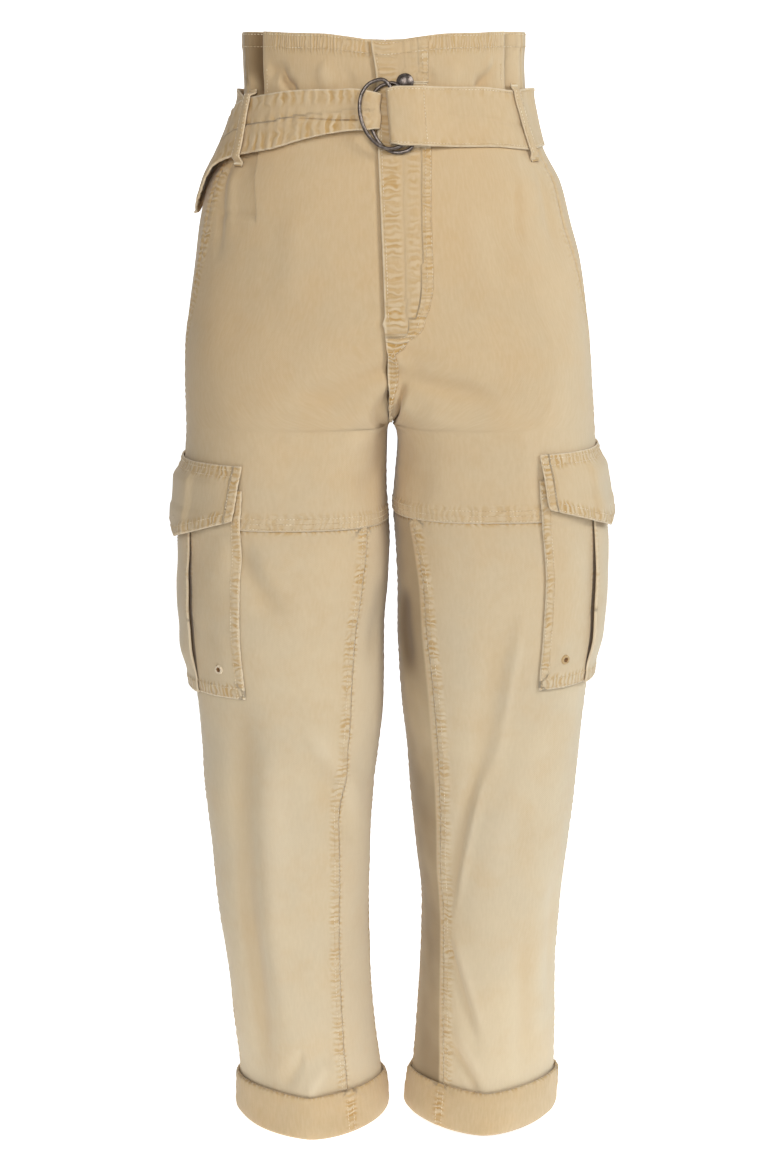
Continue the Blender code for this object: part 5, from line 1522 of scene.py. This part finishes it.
class Graph:  # one material and its nodes
    def __init__(self, name):
        self.material = bpy.data.materials.new(name)
        self.material.use_nodes = True
        self.nodes = self.material.node_tree.nodes
        self.links = self.material.node_tree.links
        self.shader = self.nodes["Principled BSDF"]

    def add(self, kind, settings, inputs):
        node = self.nodes.new(kind)
        for key, value in settings.items():
            setattr(node, key, value)
        self.feed(node, inputs)
        return {output.name: Socket(self, output) for output in reversed(node.outputs) if output.enabled}

    def feed(self, node, inputs):
        for key, value in inputs.items():
            if isinstance(value, Socket):
                self.links.new(value.link, node.inputs[key])
            else:
                node.inputs[key].default_value = value

    def mix(self, factor, first, second):
        # colours; a plain tuple gets its alpha here
        values = [(*value, 1.0) if isinstance(value, tuple) else value for value in (first, second)]
        inputs = {0: factor, 6: values[0], 7: values[1]}
        return self.add("ShaderNodeMix", {"data_type": "RGBA"}, inputs)["Result"]

    def place(self):
        return self.add("ShaderNodeTexCoord", {}, {})["Object"]

    def axis(self, vector, letter):
        return self.add("ShaderNodeSeparateXYZ", {}, {"Vector": vector})[letter]

    def layer(self, name):
        return self.add("ShaderNodeUVMap", {"uv_map": name}, {})["UV"]

    def bands(self, vector, direction, scale, distortion):
        return self.add("ShaderNodeTexWave", {"wave_type": "BANDS", "bands_direction": direction},
                        {"Vector": vector, "Scale": scale, "Distortion": distortion, "Detail": 1.0})["Fac"]

    def bump(self, strength, height):
        inputs = {"Strength": strength, "Distance": 1.0, "Height": height}
        return self.add("ShaderNodeBump", {}, inputs)["Normal"]

    def noise(self, place, scale, detail=2.0, roughness=0.5, stretch=(1.0, 1.0, 1.0)):
        moved = self.add("ShaderNodeMapping", {}, {"Vector": place, "Scale": stretch})["Vector"]
        return self.add("ShaderNodeTexNoise", {}, {"Vector": moved, "Scale": scale, "Detail": detail,
                                                   "Roughness": roughness})["Fac"]


# ---- twill ----

# the dye is warmer at the hips and paler towards the hems
twillTone = {
    "body": ((0.642, 0.524, 0.350), (0.600, 0.440, 0.255)),
    "greyer": ((0.595, 0.497, 0.348), (0.560, 0.430, 0.265)),
    "warmer": ((0.600, 0.445, 0.260), (0.585, 0.405, 0.215)),
    "pale": ((0.760, 0.650, 0.480), (0.760, 0.630, 0.440)),
    "ochre": (0.490, 0.285, 0.085),
    # the colour of the painted shade in hollows, slits and under edges
    "shadeBrown": (0.130, 0.075, 0.032),
    "change": (-0.620, -0.120),  # levels between which the dye changes
    "rib": 0.0009,  # width of one diagonal rib
    "pitch": 0.0054,  # from one pucker to the next, along a seam
}


def twill(name, tone, snap=None):
    graph = Graph(name)
    flat, seam, place = graph.layer("flat"), graph.layer("seam"), graph.place()
    crest, edge, worn = (graph.add("ShaderNodeAttribute", {"attribute_name": key}, {})["Fac"]
                         for key in ("crest", "edge", "worn"))
    distance = graph.axis(seam, "Y")
    upward = graph.axis(place, "Z").between(*tone["change"])
    body, greyer, warmer, pale = (graph.mix(upward, *tone[key]) for key in ("body", "greyer", "warmer", "pale"))
    ragged = graph.noise(seam, 130.0, 2.0, 0.6, (1.0, 0.0, 1.0))
    wander = (graph.noise(flat, 95.0, 1.0, 0.5) - 0.5) * 0.009
    pulled = graph.add("ShaderNodeVectorMath", {"operation": "ADD"}, {0: seam, 1: wander})["Vector"]
    nearSeam = 1 - (distance + ragged * 0.004).between(0.0018, 0.0075)
    beside = 1 - distance.between(0.0, 0.024)

    # colour: uneven dye, slubs, folds with wear and painted light and shade, and the puckers along the seams
    cloud = graph.noise(place, 9.0, 3.0, 0.55).between(0.35, 0.68)
    patch = graph.noise(place, 26.0, 3.0, 0.6).between(0.40, 0.70)
    slub = graph.noise(flat, 420.0, 2.0, 0.6, (1.0, 0.22, 1.0)).between(0.30, 0.72)
    cross = graph.noise(flat, 420.0, 2.0, 0.6, (0.25, 1.0, 1.0)).between(0.30, 0.72)
    colour = graph.mix(cloud * 0.75, body, greyer)
    colour = graph.mix(patch * 0.42, colour, warmer)
    colour = graph.mix(slub * 0.16, colour, pale)
    colour = graph.mix(cross * 0.14, colour, greyer)
    # fold crests paler, partly wear and partly painted highlight; troughs warmer and, deepest, painted dark
    # brown as painted shade
    colour = graph.mix(crest.between(0.0006, 0.0040) * 0.26, colour, pale)
    colour = graph.mix((crest * -1).between(0.0008, 0.0050) * 0.34, colour, warmer)
    colour = graph.mix((crest * -1).between(0.0060, 0.0110) * 0.85, colour, tone["shadeBrown"])

    rungs = graph.bands(pulled, "X", 0.314 / tone["pitch"], 3.0)
    pull = graph.noise(pulled, 1.5 / tone["pitch"], 1.0, 0.5, (1.0, 0.50, 1.0)) * 0.75 + rungs * 0.25
    cluster = graph.noise(seam, 42.0, 2.0, 0.5, (1.0, 0.5, 1.0)).between(0.36, 0.64)
    speck = graph.noise(pulled, 520.0, 1.0, 0.5, (1.0, 0.7, 1.0)).between(0.30, 0.60)
    valley = (1 - pull.between(0.38, 0.56)) * (0.30 + 0.70 * cluster) * (0.55 + 0.45 * speck)
    top = pull.between(0.50, 0.66) * (0.40 + 0.60 * cluster)
    colour = graph.mix(beside * 0.18 * worn, colour, warmer)
    colour = graph.mix(nearSeam * valley * worn * 0.88, colour, tone["ochre"])
    colour = graph.mix(nearSeam * top * worn * 0.42, colour, pale)
    # pale along folded edges: worn, and a painted highlight where the edge catches the light
    rubbedAndLit = graph.noise(seam, 75.0, 2.0, 0.6, (1.0, 0.0, 1.0)).between(0.30, 0.60)
    rim = 1 - edge.between(0.0006, 0.0019)
    colour = graph.mix(rim * (0.35 + 0.5 * rubbedAndLit), colour, pale)

    # relief: diagonal ribs, slubs and the puckers
    ribs = graph.bands(flat, "DIAGONAL", 0.30 / tone["rib"], 0.9)
    height = ribs * 0.00005 + slub * 0.00004 + cross * 0.00003
    height = height + pull * nearSeam * worn * 0.0016 + pull * beside * 0.0003
    if snap:
        # the ring that a snap under the flap has pressed through, raised by bump and painted pale as a painted
        # highlight
        away = ((graph.axis(flat, "X") - snap[0]) ** 2 + (graph.axis(flat, "Y") - snap[1]) ** 2) ** 0.5
        ring = away.between(0.0030, 0.0042) * (1 - away.between(0.0042, 0.0058))
        colour = graph.mix(ring * 0.35, colour, pale)
        height = height + ring * 0.0005
    graph.feed(graph.shader, {
        "Base Color": colour, "Roughness": 0.86 + 0.10 * slub, "Normal": graph.bump(0.8, height),
        "Specular IOR Level": 0.15, "Sheen Weight": 0.25, "Sheen Roughness": 0.5,
    })
    return graph.material


def thread():
    graph = Graph("tonal thread")
    place = graph.place()
    faded = graph.noise(place, 60.0, 2.0, 0.6).between(0.35, 0.65)
    colour = graph.mix(faded, (0.620, 0.460, 0.260), (0.840, 0.740, 0.560))
    twist = graph.noise(place, 1400.0, 1.0, 0.5)
    graph.feed(graph.shader, {"Base Color": colour, "Roughness": 0.7, "Normal": graph.bump(0.5, twist * 0.0003),
                              "Specular IOR Level": 0.3})
    return graph.material


def darkSteel():
    # antique steel: brown in the hollows, rubbed bright where it is handled
    graph = Graph("dark antique steel")
    place = graph.place()
    worn = graph.noise(place, 320.0, 3.0, 0.6).between(0.40, 0.66)
    grain = graph.noise(place, 1800.0, 2.0, 0.6)
    colour = graph.mix(worn * 0.55, (0.120, 0.098, 0.086), (0.330, 0.295, 0.275))
    graph.feed(graph.shader, {"Base Color": colour, "Roughness": 0.26 + 0.20 * grain, "Metallic": 1.0,
                              "Normal": graph.bump(0.35, grain * 0.00010)})
    return graph.material


def eyeletPaint(name, tone):
    # paint in the cloth's colour, gone inside the hole
    graph = Graph(name)
    place = graph.place()
    chipped = graph.noise(place, 900.0, 3.0, 0.6).between(0.52, 0.62)
    colour = graph.mix(chipped * 0.5, tone, (0.360, 0.210, 0.090))
    graph.feed(graph.shader, {"Base Color": colour, "Roughness": 0.42, "Metallic": chipped * 0.7})
    return graph.material


def brassAndShadeInHole():
    # brass, with the shade inside the hole painted onto the disk that closes it
    graph = Graph("brass inside the eyelet")
    place = graph.place()
    spots = graph.noise(place, 1500.0, 2.0, 0.6).between(0.35, 0.65)
    colour = graph.mix(spots, (0.100, 0.045, 0.015), (0.300, 0.150, 0.050))
    graph.feed(graph.shader, {"Base Color": colour, "Roughness": 0.5, "Metallic": 0.4})
    return graph.material


bodyTwill = twill("body twill", twillTone)
flapTwill = twill("flap twill", twillTone, snap=(0.0, -0.059))
beltTwill = twill("belt twill", dict(twillTone, pitch=0.0088))
cuffTwill = twill("turned up twill", dict(twillTone, change=(-1.6, -1.2), body=((0.475, 0.347, 0.190),) * 2))
sewingThread, steel = thread(), darkSteel()
trims = ("fly", "pocket_right", "pocket_left", *loops["places"])
for name, piece in pieces.items():
    if name.endswith("_stitches"):
        dress(piece, sewingThread, "sand_twill_trim")
        continue
    used = {"flap": flapTwill, "cuff": cuffTwill, "belt": beltTwill}.get(name.split("_")[0], bodyTwill)
    dress(piece, used, "sand_twill_trim" if name in trims else "sand_twill", (name,))
for name in ("ring_upper", "ring_lower", "button"):
    dress(metal[name], steel, "dark_steel", (name,))
paints = {"eyelet_right": eyeletPaint("pale eyelet paint", (0.780, 0.665, 0.490)),
          "eyelet_left": eyeletPaint("worn eyelet paint", (0.560, 0.390, 0.195))}
hole = brassAndShadeInHole()
for name, paint in paints.items():
    dress(metal[name], paint, "painted_eyelet", (name,))
    metal[name].data.materials.append(hole)
    # the faces inside the hole take the brass with its painted shade
    ring = metal[name].data
    middle = sum((vert.co for vert in ring.vertices), Vector()) / len(ring.vertices)
    for face in ring.polygons:
        face.material_index = int((Vector(face.center) - middle).length < pocket["eyelet"]["hole"])
print("materials made")


# ---- every sheet says what it was cut to ----


def cutOf(name):
    # width, length and area of the cloth, measured along its rows and columns
    points = grids[name][0]
    width = np.linalg.norm(np.diff(points, axis=1), axis=2).sum(axis=1).max()
    length = np.linalg.norm(np.diff(points, axis=0), axis=2).sum(axis=0).max()
    quads = np.cross(points[1:, 1:] - points[:-1, :-1], points[1:, :-1] - points[:-1, 1:])
    layers = 2 if name.startswith("cuff") else 1  # a turn-up's grid goes up its outside and down its inside
    return width, length / layers, min(np.linalg.norm(quads, axis=2).sum() / 2, width * length) / layers


for name in grids:
    width, length, area = cutOf(name)
    print(f"{name}: {width * 1000:.0f} x {length * 1000:.0f} mm, {area:.4f} m2")


# ---- light, floor and camera ----

studio = {
    "floor": -0.9862,
    "white": 0.80,
    "glow": 1.05,
    "dimGlow": 0.04,
    "farGlow": 0.17,
    "world": 0.015,
    "radius": 13.0,
    "bend": 1.5,
    "wall": 5.8,
    "aim": (0.0, 0.0, -0.4),
    "key": {"place": (2.2, -1.9, 1.4), "size": 1.2, "power": 43.5, "colour": (1.0, 0.99, 0.965)},
    "fill": {"place": (-0.35, -2.6, 0.9), "size": 1.4, "power": 34.0, "colour": (1.0, 0.985, 0.96)},
    "edge": {"place": (1.9, 0.6, 0.3), "size": 1.0, "power": 15.0, "colour": (0.70, 0.86, 1.0)},
    "back": {"place": (-0.6, 2.8, 1.5), "size": 1.5, "power": 32.0, "colour": (1.0, 0.99, 0.97)},
    "top": {"place": (0.2, -0.3, 2.4), "size": 1.6, "power": 5.0, "colour": (1.0, 1.0, 1.0)},
}
camera = {"focal": 2266.0, "width": 780.0, "place": (0.0047, -2.15, -0.006), "down": 11.5}


def light(name, spec):
    data = bpy.data.lights.new(name, "AREA")
    data.shape, data.size = "DISK", spec["size"]
    data.energy, data.color = spec["power"], spec["colour"]
    lamp = placed(name, data)
    lamp.location = spec["place"]
    aim = Vector(studio["aim"]) - Vector(spec["place"])
    lamp.rotation_euler = aim.to_track_quat("-Z", "Y").to_euler()


def backdrop():
    # a round pale floor that bends up into a low wall, far from the trousers
    radius, bend, floor = studio["radius"], studio["bend"], studio["floor"]
    profile = [(0.0, floor), (2.0, floor), (6.0, floor)]
    profile += [(radius - bend + bend * math.sin(turn), floor + bend - bend * math.cos(turn))
                for turn in np.linspace(0.0, math.pi / 2, 9)]
    profile.append((radius, floor + studio["wall"]))
    data = meshData("backdrop", spun(profile, 72, 1e-4))
    data.shade_smooth()
    ground = placed("backdrop", data)
    graph = Graph("backdrop paint")
    # a painted glow that also lights the trousers: bright behind them as a lit studio floor is, dim round their
    # hems and pale again far away
    x, y = (graph.axis(graph.place(), letter) for letter in "XY")
    aside = x.math("ABSOLUTE", x) / (y + 2.30)
    lit = y.between(-0.8, -0.12) * (1 - aside.between(0.20, 0.42))
    away = (x ** 2 + y ** 2) ** 0.5
    lit = lit.math("MAXIMUM", lit * (0.78 + 0.22 * away.between(1.6, 4.0)),
                   away.between(1.6, 5.5) * studio["farGlow"])
    glow = graph.mix(lit, (studio["dimGlow"],) * 3, (1.0, 1.0, 1.0))
    graph.feed(graph.shader, {
        "Base Color": (studio["white"],) * 3 + (1.0,), "Roughness": 0.9, "Specular IOR Level": 0.0,
        "Emission Color": glow, "Emission Strength": studio["glow"],
    })
    data.materials.append(graph.material)


backdrop()
for name in ("key", "fill", "edge", "back", "top"):
    light(name, studio[name])
world = bpy.data.worlds.new("studio")
world.use_nodes = True
world.node_tree.nodes["Background"].inputs["Color"].default_value = (1.0, 1.0, 1.0, 1.0)
world.node_tree.nodes["Background"].inputs["Strength"].default_value = studio["world"]
bpy.context.scene.world = world
bpy.context.scene.view_settings.view_transform = "Standard"

lens = bpy.data.cameras.new("camera")
lens.sensor_fit, lens.sensor_width = "HORIZONTAL", 36.0
lens.lens = camera["focal"] / camera["width"] * lens.sensor_width
lens.clip_end = 60.0
eye = placed("camera", lens)
eye.location = camera["place"]
eye.rotation_euler = (math.radians(90 - camera["down"]), 0.0, 0.0)
bpy.context.scene.camera = eye
print("studio set")
